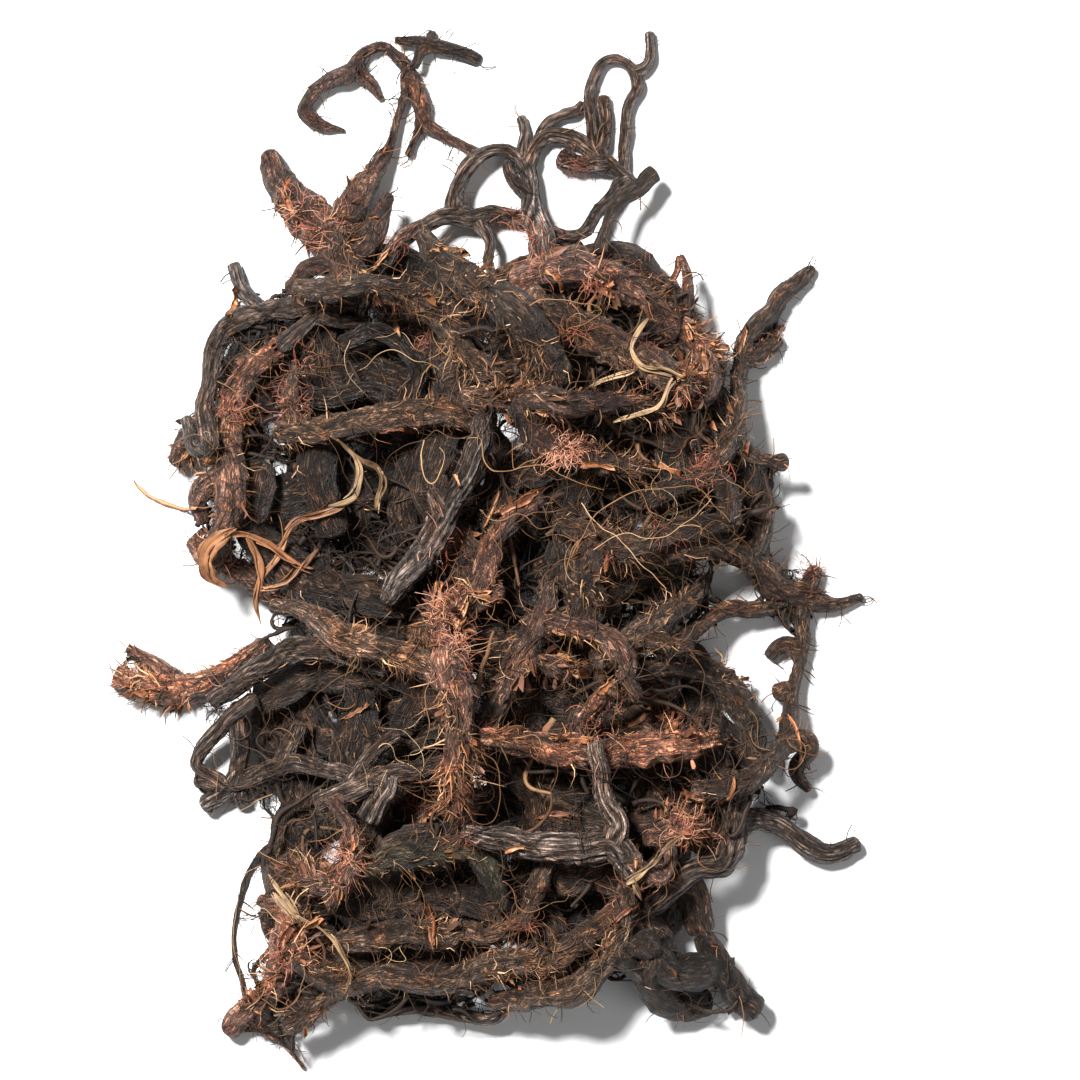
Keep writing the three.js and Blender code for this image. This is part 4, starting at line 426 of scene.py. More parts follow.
# dry grass blades on top, as [x, y, half width]
blades = [
    ("dry_leaf_orange", "orange", [
        [[-84.7, 3.3, 1.7], [-90.7, 0, 3.3], [-94.3, -6, 4], [-92.7, -12, 3], [-87.3, -15.7, 1.3]],
        [[-86, 2.3, 1.3], [-78, 1, 1.3], [-71.7, -2.7, 1.2], [-65, -6.7, 1], [-58.7, -9.3, 1]],
        [[-80, 1.3, 1.2], [-76.7, -5.3, 1.2], [-76, -13.3, 1.2], [-77.7, -20.7, 1], [-76, -28.3, 0.87]],
        [[-76.3, -16.7, 1], [-68.3, -15, 1], [-61.7, -8.3, 1], [-56.7, -3.3, 0.87]],
        [[-76, -12, 1], [-71.3, -6.7, 1], [-68.7, -1.7, 1.2], [-64.7, 5.3, 1.2], [-53.3, 9.3, 1],
         [-42.7, 14, 1]],
    ]),
    ("dry_straw_upper_left", "straw", [
        [[-50.7, 33.3, 0.87], [-46, 29.3, 1], [-42.7, 23.3, 1], [-44, 16, 1], [-48.3, 12.7, 1],
         [-53.3, 11.7, 0.87]],
        [[-45.3, 28.3, 0.87], [-38, 24.7, 1], [-35.3, 20, 1], [-37.3, 14, 1.2], [-38.3, 10, 1]],
    ]),
    ("dry_straw_upper_right", "straw", [
        [[52.7, 74, 1], [49.3, 68.3, 1], [47.3, 62.7, 1], [50, 57.3, 1], [56.7, 55.3, 1], [64.7, 53, 0.87]],
        [[60.7, 54, 0.87], [58, 49.3, 0.87], [56.7, 44.7, 1], [50, 41.3, 1], [40.7, 38.7, 0.87]],
        [[50.7, 56.7, 1], [40.7, 54.3, 1], [32.7, 51.3, 0.87]],
    ]),
    ("dry_straw_low_right", "straw", [
        [[63.7, -98, 1], [56.7, -104, 1.1], [50, -110.7, 1.3], [45.3, -113.7, 1.3]],
        [[48, -112.3, 1], [49.3, -116.7, 1.2], [50.7, -119.3, 1]],
    ]),
    ("dry_straw_low_left", "straw", [
        [[-74, -111.3, 1], [-69.3, -117.7, 1.7], [-62.3, -127.3, 1.3]],
        [[-63.3, -126, 1], [-68.3, -121.7, 1], [-72.3, -116.7, 1]],
        [[-63.3, -126, 0.8], [-54, -130, 0.73], [-48.3, -138.3, 0.73], [-46, -145, 0.73],
         [-48, -150.7, 0.73]],
    ]),
]


# laying the stems down

def padEnds(points):
    return np.vstack([2 * points[0] - points[1], points, 2 * points[-1] - points[-2]])


def throughPoints(a, b, c, d, w):
    # a smooth curve from b to c, which a and d lead in and out of
    return b + 0.5 * (c - a) * w + (a - 2.5 * b + 2 * c - 0.5 * d) * w ** 2 \
        + 0.5 * (3 * b - a - 3 * c + d) * w ** 3


def lengthAlong(points):
    return np.concatenate([[0], np.cumsum(np.linalg.norm(np.diff(points[:, :3], axis=0), axis=1))])


def curvePoints(stem):
    points = np.array(stem, float)
    count = len(points)
    padded = padEnds(points)
    t = np.linspace(0, 1, laying["curveSteps"] + 1) * (count - 1)
    piece = np.minimum(t.astype(int), count - 2)
    a, b, c, d = (padded[piece + k] for k in range(4))
    fine = throughPoints(a, b, c, d, (t - piece)[:, None])
    reach = lengthAlong(fine)
    steps = max(2, int(math.floor(reach[-1] / laying["sampleStep"] + 0.5)))
    return resample(fine, reach, np.linspace(0, reach[-1], steps + 1))


def resample(values, reach, wanted):
    return np.stack([np.interp(wanted, reach, values[:, k]) for k in range(values.shape[1])], 1)


def skeleton(stems):
    samples, links, paths = [], [], []
    for stem in stems:
        along = curvePoints(stem)
        path = []
        if samples:
            gap = np.hypot(*(np.array(samples)[:, :2] - along[0, :2]).T)
            path.append(int(np.argmin(gap)))
            along = along[1:]
        for sample in along:
            samples.append(sample)
            if path:
                links.append((path[-1], len(samples) - 1))
            path.append(len(samples) - 1)
        paths.append(path)
    return np.array(samples), links, paths


laid = np.zeros((0, 5))       # x, y, z, thickness, breadth of all that lies there


def layDown(samples, links, thickness, breadth, gap, sink):
    global laid
    floor = thickness - sink
    if len(laid):
        apart = np.hypot(samples[:, :1] - laid[:, 0], samples[:, 1:2] - laid[:, 1])
        apart = np.maximum(apart - breadth[:, None] - laid[:, 4], 0)
        reach = thickness[:, None] + laid[:, 3] + gap
        over = laid[:, 2] + np.sqrt(np.maximum(reach ** 2 - apart ** 2, 0))
        over = np.where(apart < reach, over, -99)
        floor = np.maximum(floor, over.max(1))
    count = len(samples)
    weights = np.zeros((count, count))
    for a, b in links:
        weights[a, b] = weights[b, a] = 1
    degree = weights.sum(1)
    fall = np.where(degree > 1, 0, laying["droop"] * laying["sampleStep"])
    weights /= degree[:, None]
    heights = floor.copy()
    for _ in range(laying["slackRounds"]):
        heights = np.maximum(floor, weights @ heights - fall)
    laid = np.vstack([laid, np.column_stack([samples[:, :2], heights, thickness, breadth])])
    return heights


def layRhizomes():
    out = []
    for name, bark, cut, stems in rhizomes:
        samples, links, paths = skeleton(stems)
        broad = laying["broad"].get(bark, 1)
        thickness, breadth = samples[:, 2], samples[:, 2] * (broad - 1)
        wear = laying["tableWear"].get(bark, 0)
        heights = layDown(samples, links, thickness, breadth, laying["restGap"], wear)
        spine = np.column_stack([samples[:, :2], heights, thickness, breadth])
        out.append({"name": name, "bark": bark, "cut": cut, "spine": spine, "paths": paths})
    return out


def layBlades():
    out = []
    for name, colour, stems in blades:
        samples, links, paths = skeleton(stems)
        thickness = np.full(len(samples), laying["bladeThickness"] / 2)
        heights = layDown(samples, links, thickness, samples[:, 2], laying["bladeGap"], -laying["bladeGap"])
        spine = np.column_stack([samples[:, :2], heights, samples[:, 2]])
        out.append({"name": name, "colour": colour, "spine": spine, "paths": paths})
    return out


laidRhizomes = layRhizomes()
laidBlades = layBlades()


def frameShift():
    # where the frame's origin lies in the traced places: the median over all the solids
    gaps = []
    for piece in laidRhizomes:
        low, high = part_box(piece["name"])
        spine = piece["spine"]
        middle = (spine[:, :2].min(0) + spine[:, :2].max(0)) / 2
        gaps.append([(low[0] + high[0]) / 2 / mm - middle[0], (low[1] + high[1]) / 2 / mm - middle[1]])
    return np.array([*np.median(gaps, 0), 0.0])


shift = frameShift()
print("laid", len(laidRhizomes), "rhizomes and", len(laidBlades), "blades, shift", shift.round(2))


# mesh and noise helpers

def makeMesh(name, points, faces, attributes):
    mesh = bpy.data.meshes.new(name)
    points = (np.asarray(points) + shift) * mm
    sizes = np.array([len(face) for face in faces])
    corners = np.concatenate([np.ravel(face) for face in faces])
    mesh.vertices.add(len(points))
    mesh.vertices.foreach_set("co", points.ravel())
    mesh.loops.add(len(corners))
    mesh.loops.foreach_set("vertex_index", corners.astype(np.int32))
    mesh.polygons.add(len(sizes))
    mesh.polygons.foreach_set("loop_start", np.concatenate([[0], np.cumsum(sizes)[:-1]]).astype(np.int32))
    mesh.polygons.foreach_set("use_smooth", np.full(len(sizes), True))
    for key, values in attributes.items():
        kind = {1: "FLOAT", 3: "FLOAT_VECTOR", 4: "FLOAT_COLOR"}[values.shape[1] if values.ndim > 1 else 1]
        layer = mesh.attributes.new(key, kind, "POINT")
        field = {"FLOAT": "value", "FLOAT_VECTOR": "vector", "FLOAT_COLOR": "color"}[kind]
        layer.data.foreach_set(field, np.ascontiguousarray(values, np.float32).ravel())
    mesh.update(calc_edges=True)
    mesh.validate()
    return mesh


def addObject(name, mesh, material=None):
    piece = bpy.data.objects.new(name, mesh)
    bpy.context.scene.collection.objects.link(piece)
    if material:
        mesh.materials.append(material)
    return piece


def triangles(piece):
    return len(piece.data.loops) - 2 * len(piece.data.polygons)


def ridePiece(piece, slotName, *nodes):
    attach(piece, "root")
    if nodes:
        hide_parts(*nodes)


def unit(vectors):
    return vectors / np.maximum(np.linalg.norm(vectors, axis=-1, keepdims=True), 1e-9)


def asColours(tint):
    return np.column_stack([tint, np.ones(len(tint))])


def ringQuads(count, around):
    # the faces between one ring of points and the next
    first = np.arange(count - 1)[:, None] * around
    col = np.arange(around)[None]
    nextCol = (col + 1) % around
    return np.stack([first + col, first + nextCol, first + around + nextCol, first + around + col],
                    -1).reshape(-1, 4)


def stripFaces(count, around):
    # the same for a flat strip, whose rings turn the other way, with both ends closed
    faces = list(ringQuads(count, around)[:, [0, 3, 2, 1]])
    return faces + [np.arange(around), np.arange(around)[::-1] + (count - 1) * around]


def patchNoise(rng, along, turn, cell, patches):
    # smooth random values from -1 to 1 over a stem's skin; turn runs from 0 to 1 and closes on itself
    rows = along / cell
    grid = rng.uniform(-1, 1, (int(rows.max()) + 3, patches))
    columns = turn * patches
    i, j = rows.astype(int), columns.astype(int) % patches
    a, b = rows - rows.astype(int), columns - np.floor(columns)
    a, b = a * a * (3 - 2 * a), b * b * (3 - 2 * b)
    k = (j + 1) % patches
    here = grid[i, j] * (1 - a) + grid[i + 1, j] * a
    there = grid[i, k] * (1 - a) + grid[i + 1, k] * a
    return here * (1 - b) + there * b


def lineNoise(rng, along, cell):
    rows = along / cell
    values = rng.uniform(-1, 1, int(rows.max()) + 3)
    i, a = rows.astype(int), rows - rows.astype(int)
    a = a * a * (3 - 2 * a)
    return values[i] * (1 - a) + values[i + 1] * a


# heights of the clump seen from above, on a grid of one millimetre

mapLow, mapSize = np.array([-140, -200]), (290, 400)
topMap = np.zeros(mapSize)


def fillTopMap():
    for piece in laidRhizomes:
        for path in piece["paths"]:
            rows = piece["spine"][path]
            reach = lengthAlong(rows)
            for x, y, z, radius, breadth in resample(rows, reach, np.arange(0, reach[-1], 1.0)):
                wide = radius + breadth
                i0, j0 = np.floor([x - wide, y - wide] - mapLow).astype(int)
                i1, j1 = np.ceil([x + wide, y + wide] - mapLow).astype(int)
                i, j = np.mgrid[i0:i1 + 1, j0:j1 + 1]
                near = ((i + mapLow[0] - x) ** 2 + (j + mapLow[1] - y) ** 2) / wide ** 2
                top = np.where(near < 1, z + radius * np.sqrt(np.maximum(1 - near, 0)), 0)
                topMap[i0:i1 + 1, j0:j1 + 1] = np.maximum(topMap[i0:i1 + 1, j0:j1 + 1], top)


fillTopMap()


def topAt(x, y):
    i, j = int(round(x - mapLow[0])), int(round(y - mapLow[1]))
    if 0 <= i < mapSize[0] and 0 <= j < mapSize[1]:
        return topMap[i, j]
    return 0.0


def hiddenBy(points):
    # how far below the clump's top each place lies
    i = np.clip(np.rint(points[..., 0] - mapLow[0]).astype(int), 0, mapSize[0] - 1)
    j = np.clip(np.rint(points[..., 1] - mapLow[1]).astype(int), 0, mapSize[1] - 1)
    return np.maximum(topMap[i, j] - points[..., 2], 0)


# bark: what each kind of stem looks like. First the spacing of its rings and corners, how far it wanders and
# its lumps; then the depth of furrows, as a share of the radius, the numbers of coarse and fine ribs, how
# straight they run, how narrow their valleys are, and how much of the relief stays dark as painted shade;
# then height and spacing of the leaf scars, knobs and shagginess; then the dark colour, nearly black, which
# is painted shade in the hollows, the light and the warm colour

barkKinds = {
    "dark": {
        "slot": "dark_bark", "ringGap": 1.5, "corner": 1.3, "wander": 0.6, "lumps": 0.28,
        "furrow": 0.28, "ribs": (7, 13), "straight": 0.5, "valley": 0.7, "furrowShade": 2.9,
        "collar": 0.16, "collarGap": 8, "knobs": 0.12, "shag": 0.6,
        "low": (0.003, 0.002, 0.001), "high": (0.128, 0.081, 0.055), "warm": (0.183, 0.081, 0.035)},
    "grey": {
        "slot": "grey_bark", "ringGap": 0.9, "corner": 0.55, "wander": 0.45, "lumps": 0.17,
        "furrow": 0.27, "ribs": (11, 18), "straight": 0.85, "valley": 1.0, "furrowShade": 3.5,
        "collar": 0.08, "collarGap": 10, "knobs": 0.05, "shag": 0.22,
        "low": (0.004, 0.003, 0.002), "high": (0.573, 0.409, 0.32), "warm": (0.317, 0.166, 0.098)},
    "brown": {
        "slot": "brown_bark", "ringGap": 0.9, "corner": 0.65, "wander": 0.55, "lumps": 0.26,
        "furrow": 0.25, "ribs": (8, 14), "straight": 0.5, "valley": 0.7, "furrowShade": 3.2,
        "collar": 0.16, "collarGap": 6, "knobs": 0.13, "shag": 0.75,
        "low": (0.005, 0.003, 0.002), "high": (0.323, 0.195, 0.122), "warm": (0.329, 0.128, 0.046)},
    "red": {
        "slot": "red_brown_bark", "ringGap": 0.9, "corner": 0.65, "wander": 0.55, "lumps": 0.28,
        "furrow": 0.24, "ribs": (7, 13), "straight": 0.4, "valley": 0.7, "furrowShade": 3.1,
        "collar": 0.19, "collarGap": 5, "knobs": 0.15, "shag": 0.9,
        "low": (0.007, 0.004, 0.003), "high": (0.464, 0.25, 0.171), "warm": (0.464, 0.156, 0.071)},
    "olive": {
        "slot": "olive_bark", "ringGap": 0.9, "corner": 0.65, "wander": 0.5, "lumps": 0.15,
        "furrow": 0.22, "ribs": (7, 12), "straight": 0.6, "valley": 0.8, "furrowShade": 3.3,
        "collar": 0.14, "collarGap": 6, "knobs": 0.08, "shag": 0.6,
        "low": (0.005, 0.004, 0.002), "high": (0.159, 0.134, 0.076), "warm": (0.146, 0.083, 0.037)},
}
# stems that are lighter or darker than their kind
tones = {
    "grey_grooved": 1.3, "left_mid_shaggy": 2.0, "upper_mid": 0.22, "right_knee": 0.5,
    "right_upper_stick": 0.85, "right_arm": 0.75, "olive_mat": 0.36, "upper_thick": 0.45,
    "upper_mat_left": 0.68, "bottom_left_leg": 1.35, "left_end_club": 1.7, "bottom_mat": 0.85,
    "big_pink": 1.9, "cross_right": 0.54, "diagonal_red": 0.7, "upper_left_crown": 0.5, "grey_knuckle": 1.7,
    "low_grooved": 1.1, "left_plank": 0.65, "right_lower_arm": 0.75, "inner_upper_centre": 1.4,
    "bottom_edge": 1.8, "under_mid_left": 0.5, "under_centre": 2.2, "under_upper_left": 2.4,
    "under_upper_right": 1.9, "inner_bottom_right": 1.5, "inner_low_centre": 1.2, "lower_brown": 1.1,
    "lower_right_fork": 0.6, "inner_upper_left": 0.75,
}
# how shaggy single stems are, against their kind
shagginess = {
    "upper_left_crown": 0.3, "right_upper_stick": 0.5, "right_arm": 0.55, "right_knee": 0.5,
    "big_pink": 0.55, "bottom_left_leg": 0.7, "upper_thick": 0.6, "cross_left": 0.6, "mid_right_stub": 0.6,
    "bottom_round_end": 0.6, "great_arch": 1.5, "top_stick": 0.3, "right_top_stick": 0.2,
    "lower_right_fork": 0.5, "centre_post": 1.2, "left_mid_shaggy": 1.3, "flaky_knob": 1.4,
    "upper_red_mass": 1.3, "cross_right": 1.3, "left_red_vertical": 1.2, "diagonal_red": 1.1,
}
# what all the stems share: lengths in millimetres, or as shares of the radius
stemForm = {
    "spanSteps": 0.2, "wanderGap": 7, "wanderFade": 4,      # the middle line, and its bends
    "endRound": 0.75, "endShares": (0.35, 0.65, 0.88),      # how a free end closes past its last point
    "sides": (8, 60), "girth": 0.97, "relief": 0.34, "lowest": 0.02,
    "forkSwell": 0.22, "forkReach": 3.0,                    # the collar where a fork leaves
    "depthShade": (2, 13, 0.85),        # painted shade: from where, over how much and how far bark darkens in the clump
    "rim": 0.84, "sunk": (-0.35, 0.1), "woodPale": (0.46, 0.28, 0.15),      # a broken end
}
# noise over the bark: share, length, patches round the stem, width of a crack
plateNoise = ((0.5, 9, 7, 0.35), (0.3, 5, 13, 0.4), (0.2, 2.4, 19, 0.5))
crumbNoise = ((0.5, 1.7, 15), (0.5, 1.0, 24))
knobForm = {"crowd": 1.8, "height": (0.12, 0.36), "breadths": (0.8, 2.5, 7.0), "odds": (0.5, 0.35, 0.15)}


def stemRows(spine, path, isFork, kind, rng):
    # the middle line of a stem at close even steps: place, half height and half width
    rows = spine[path].copy()
    if isFork:
        rows[0, 3:] = np.minimum(rows[0, 3:], rows[1, 3:])
    padded = padEnds(rows)
    w = np.arange(0, 1, stemForm["spanSteps"])[:, None]
    pieces = [throughPoints(*padded[i:i + 4], w) for i in range(len(rows) - 1)]
    fine = np.vstack(pieces + [rows[-1:]])
    reach = lengthAlong(fine)
    steps = max(4, int(reach[-1] / kind["ringGap"]))
    along = np.linspace(0, reach[-1], steps + 1)
    rows = resample(fine, reach, along)
    fade = np.minimum(1, np.minimum(along, reach[-1] - along) / stemForm["wanderFade"])
    for axis in range(2):
        rows[:, axis] += kind["wander"] * lineNoise(rng, along, stemForm["wanderGap"]) * fade
    return rows, along


def roundedEnd(rows, along, way):
    # a few closing rings past an end, so that it is round
    end, before = (rows[-1], rows[-2]) if way > 0 else (rows[0], rows[1])
    heading = unit(end[:3] - before[:3])
    extra = []
    for share in stemForm["endShares"]:
        row = end.copy()
        row[:3] += heading * end[3] * stemForm["endRound"] * share
        row[3:] *= math.sqrt(1 - share ** 2)
        extra.append(row)
    tip = end[:3] + heading * end[3] * stemForm["endRound"]
    spots = np.array(stemForm["endShares"]) * end[3] * stemForm["endRound"]
    if way > 0:
        return np.vstack([rows, extra]), np.concatenate([along, along[-1] + spots]), tip
    return np.vstack([extra[::-1], rows]), np.concatenate([along[0] - spots[::-1], along]), tip


def cracks(values, width):
    # narrow cracks where a noise crosses zero, and plates between them; the cracks sink the bark and are
    # painted dark as shade
    return np.clip(np.abs(values) / width, 0, 1) ** 0.7


def leafScars(rng, run, turn, angle, kind):
    # raised tilted rings that rise slowly and break off
    scars = np.zeros_like(run)
    place = rng.uniform(1, kind["collarGap"])
    while place < run.max() - 1:
        tilt = place + rng.uniform(0.3, 1.5) * np.sin(angle + rng.uniform(0, 6))
        gap = run - tilt + 0.8 * patchNoise(rng, run, turn, 3, 7)
        ridge = np.where(gap < 0, np.exp(gap / rng.uniform(0.9, 2.6)), np.exp(-(gap / 0.6) ** 2))
        scars += ridge * rng.uniform(0.3, 1) * (0.55 + 0.7 * patchNoise(rng, run, turn, 5, 5))
        place += kind["collarGap"] * rng.uniform(0.4, 1.7)
    return scars


def growKnobs(rng, run, angle, radius, kind):
    knobs = np.zeros_like(run)
    for _ in range(int(run.max() * kind["knobs"] * knobForm["crowd"])):
        u, v = rng.uniform(0, run.max()), rng.uniform(0, 2 * math.pi)
        across = np.abs(np.angle(np.exp(1j * (angle - v)))) * radius
        broad = rng.choice(knobForm["breadths"], p=knobForm["odds"])
        knobs += rng.uniform(*knobForm["height"]) * np.exp(-((run - u) ** 2 + across ** 2) / broad)
    return knobs


def stemSkin(rows, along, kind, rng, sides):
    # height of the bark over the plain tube, as a share of the radius, and how raised each place is
    turn = np.tile(np.arange(sides) / sides, (len(rows), 1))
    angle = turn * 2 * math.pi
    run = np.tile((along - along.min())[:, None], (1, sides))
    drift = 0.9 * patchNoise(rng, run, turn, 14, 3) + 0.5 * lineNoise(rng, run, 22)
    ribs, fineRibs = (
        np.abs(np.sin(count / 2 * (angle + sway * drift) + rng.uniform(0, 6))) ** kind["valley"]
        for count, sway in zip(kind["ribs"], (1.0, 1.4)))
    straight = 0.6 * ribs + 0.4 * fineRibs
    plates = sum(share * cracks(patchNoise(rng, run, turn, cell, patches), width)
                 for share, cell, patches, width in plateNoise)
    furrows = kind["straight"] * straight + (1 - kind["straight"]) * plates
    furrows += 0.2 * (1 - kind["straight"]) * (straight - 0.7)
    scars = leafScars(rng, run, turn, angle, kind)
    knobs = growKnobs(rng, run, angle, rows[:, 3:4], kind)
    lumps = lineNoise(rng, run, 10) * 0.9 + patchNoise(rng, run, turn, 7, 4) * 0.7
    crumbs = sum(patchNoise(rng, run, turn, cell, patches) * share for share, cell, patches in crumbNoise)
    height = kind["furrow"] * (furrows - 0.55) + kind["collar"] * scars + knobs * 0.9
    height += kind["lumps"] * lumps * 0.6 + 0.05 * crumbs
    raised = np.clip(furrows * 0.95 + 0.22 * crumbs + 0.25 * scars - 0.08, 0, 1)
    return angle, height, raised, scars, knobs


def stemColours(rng, kind, tone, points, outward, run, turn, raised, scars, knobs):
    # painted shade, nearly black, in the hollows; lighter and warmer on ribs and scars; and a painted
    # highlight on the upper side
    blotch = 0.5 + 0.6 * patchNoise(rng, run, turn, 13, 3)
    rust = patchNoise(rng, run, turn, 8, 5)
    rust = np.clip(0.4 + 0.9 * rust + 0.5 * (scars > 0.5), 0, 1)
    # painted shade and highlight: low places fall towards the near-black low colour, and bark that faces up
    # is lighter
    level = raised ** kind["furrowShade"] * (0.5 + 0.8 * blotch) + 0.12 * outward[..., 2] * raised + 0.25 * knobs
    level = np.clip(level, 0, 1.2)
    # painted shade: bark that lies deep in the clump is darkened
    top, depth, dark = stemForm["depthShade"]
    level *= 1 - dark * np.clip((hiddenBy(points) - top) / depth, 0, 1)     # darker the deeper it lies below the clump's top
    share = 0.8 * rust[..., None]
    light = np.array(kind["high"]) * (1 - share) + np.array(kind["warm"]) * share
    light = light * rng.uniform(0.85, 1.15) * tone
    light = light * (np.array([1, 1, 1]) + np.array([-0.10, 0.02, 0.16]) * rng.uniform(-0.5, 1))
    tint = np.array(kind["low"]) + (light - np.array(kind["low"])) * level[..., None]
    return tint.reshape(-1, 3), rust


def brokenEnd(rng, skin, last, sides, row, heading, radius, base):
    # a broken face: the bark's rim, then pale wood that is sunk and ragged
    pale, col = np.array(stemForm["woodPale"]), np.arange(sides)
    inner = row[:3] + (skin[last:last + sides] - row[:3]) * stemForm["rim"]
    inner = inner + heading * rng.uniform(*stemForm["sunk"], (sides, 1)) * radius * 0.4
    tints = [pale * rng.uniform(0.6, 1.1) for _ in range(sides)]
    rim, rimNext = base + 2 + col, base + 2 + (col + 1) % sides
    quads = np.stack([last + col, last + (col + 1) % sides, rimNext, rim], -1)
    return inner, tints, quads, np.stack([np.full(sides, base + 1), rim, rimNext], -1)


def buildStem(piece, path, number, rng):
    kind, name = barkKinds[piece["bark"]], piece["name"].removeprefix("rhizome_")
    isFork, isCut = number > 0, number in piece["cut"]
    rows, along = stemRows(piece["spine"], path, isFork, kind, rng)
    girth = 2 * math.pi * (rows[:, 3].mean() + rows[:, 4].mean() / 2)
    sides = int(np.clip(girth / kind["corner"], *stemForm["sides"]))
    firstTip, lastTip = rows[0, :3], rows[-1, :3]
    cutRadius = rows[-1, 3]
    if not isFork:
        rows, along, firstTip = roundedEnd(rows, along, -1)
    if not isCut:
        rows, along, lastTip = roundedEnd(rows, along, 1)
    heading = unit(np.gradient(rows[:, :3], axis=0))
    side = unit(np.cross([0, 0, 1], heading))
    down = np.cross(side, heading)
    angle, height, raised, scars, knobs = stemSkin(rows, along, kind, rng, sides)
    scale = stemForm["girth"] + np.clip(height, -stemForm["relief"], stemForm["relief"])
    if isFork:
        swell = np.exp(-((along - rows[0, 3]) / stemForm["forkReach"]) ** 2)
        scale *= 1 + stemForm["forkSwell"] * swell[:, None]
    wide = rows[:, 3] + rows[:, 4]
    points = rows[:, None, :3] + (np.cos(angle) * scale * rows[:, 3:4])[..., None] * down[:, None]
    points = points + (np.sin(angle) * scale * wide[:, None])[..., None] * side[:, None]
    points[..., 2] = np.maximum(points[..., 2], stemForm["lowest"])
    skin = points.reshape(-1, 3)
    outward = unit(np.cos(angle)[..., None] * down[:, None] + np.sin(angle)[..., None] * side[:, None])
    run, turn = np.tile(along[:, None], (1, sides)), angle / (2 * math.pi)
    tint, rust = stemColours(rng, kind, tones.get(name, 1), points, outward, run - run.min(), turn,
                             raised, scars, knobs)
    grain = np.stack([run, np.cos(angle) * rows[:, 3:4], np.sin(angle) * rows[:, 3:4]], -1).reshape(-1, 3)
    growAlong = np.repeat(heading, sides, axis=0)
    # how shaggy each place is: more in patches, on rust and near the end, less on thin stems
    nearEnd = np.exp(-np.minimum(along[-1] - along, 99) / 6)
    patch = patchNoise(rng, run - run.min(), turn, 17, 3)
    shag = kind["shag"] * shagginess.get(name, 1)
    shag = shag * np.clip(0.55 + 1.9 * patch, 0.06, 2.2) * (1 + 0.5 * nearEnd[:, None]) * (0.6 + 0.6 * rust)
    shag = (shag * np.clip(rows[:, 3:4] / 4, 0.35, 1)).reshape(-1)
    hairScale = np.repeat(np.clip(rows[:, 3] / 4.5, 0.3, 1.15), sides)
    # faces: the tube, then a fan or a broken face at each end
    quads, base, last = ringQuads(len(rows), sides), len(skin), (len(rows) - 1) * sides
    col, nextCol = np.arange(sides), (np.arange(sides) + 1) % sides
    extra, extraTint = [firstTip, lastTip], [tint[:sides].mean(0), tint[-sides:].mean(0)]
    fans = [np.stack([np.full(sides, base), nextCol, col], -1)]
    if isCut:
        inner, tints, rimQuads, fan = brokenEnd(rng, skin, last, sides, rows[-1], heading[-1],
                                                cutRadius, base)
        extra += list(inner)
        extraTint = [extraTint[0], np.array(stemForm["woodPale"]) * 0.55, *tints]
        quads = np.vstack([quads, rimQuads])
        fans.append(fan)
    else:
        fans.append(np.stack([np.full(sides, base + 1), last + col, last + nextCol], -1))
    addCount = len(extra)
    skin = np.vstack([skin, extra])
    skin[:, 2] = np.maximum(skin[:, 2], stemForm["lowest"])
    return {"points": skin, "quads": quads, "fans": np.vstack(fans), "tint": np.vstack([tint, extraTint]),
            "grain": np.vstack([grain, np.zeros((addCount, 3))]),
            "growAlong": np.vstack([growAlong, np.tile(heading[-1], (addCount, 1))]),
            "shag": np.concatenate([shag, np.zeros(addCount)]),
            "hairScale": np.concatenate([hairScale, np.ones(addCount)])}


def joinParts(parts):
    # one mesh's worth of points, faces and attributes from several
    offset, quads, fans = 0, [], []
    for part in parts:
        quads.append(part["quads"] + offset)
        fans.append(part["fans"] + offset)
        offset += len(part["points"])
    joined = {key: np.concatenate([part[key] for part in parts])
              for key in ("points", "tint", "grain", "growAlong", "shag", "hairScale")}
    faces = [row for block in quads for row in block] + [row for block in fans for row in block]
    return joined, faces


barkParts = {kind: [] for kind in barkKinds}      # the skins of each kind, for its coat of fibres
barkObjects = []
for number, piece in enumerate(laidRhizomes):
    rng = np.random.default_rng(100 + number)
    parts = [buildStem(piece, path, k, rng) for k, path in enumerate(piece["paths"])]
    joined, faces = joinParts(parts)
    mesh = makeMesh(piece["name"] + "_bark", joined["points"], faces, {
        "barkTint": asColours(joined["tint"]), "grainSpace": joined["grain"] * mm})
    barkObjects.append((addObject(piece["name"] + "_bark", mesh), piece))
    barkParts[piece["bark"]] += parts
print("bark", sum(triangles(skin) for skin, _ in barkObjects), "triangles")


# node helpers

def put(tree, kind, settings=None, **values):
    made = tree.nodes.new(kind)
    for key, value in (settings or {}).items():
        setattr(made, key, value)
    for key, value in values.items():
        join(tree, value, made.inputs[key.replace("_", " ")])
    return made


def join(tree, value, socket):
    if isinstance(value, bpy.types.NodeSocket):
        tree.links.new(value, socket)
    else:
        socket.default_value = value


def calc(tree, operation, a, b=0.0):
    made = put(tree, "ShaderNodeMath", {"operation": operation})
    join(tree, a, made.inputs[0])
    join(tree, b, made.inputs[1])
    return made.outputs[0]


def vectorCalc(tree, operation, a, b=None, scale=None):
    made = put(tree, "ShaderNodeVectorMath", {"operation": operation})
    join(tree, a, made.inputs[0])
    if b is not None:
        join(tree, b, made.inputs[1])
    if scale is not None:
        join(tree, scale, made.inputs["Scale"])
    return made.outputs[0]


def named(tree, name, kind="FLOAT"):
    return put(tree, "GeometryNodeInputNamedAttribute", {"data_type": kind}, Name=name).outputs[0]


def randomIn(tree, low, high, seed, kind="FLOAT"):
    made = put(tree, "FunctionNodeRandomValue", {"data_type": kind}, Seed=seed)
    places = {"FLOAT": ("Min_001", "Max_001"), "FLOAT_VECTOR": ("Min", "Max")}[kind]
    for socket in made.inputs:
        if socket.identifier in places:
            join(tree, low if socket.identifier == places[0] else high, socket)
    return next(s for s in made.outputs if s.enabled)


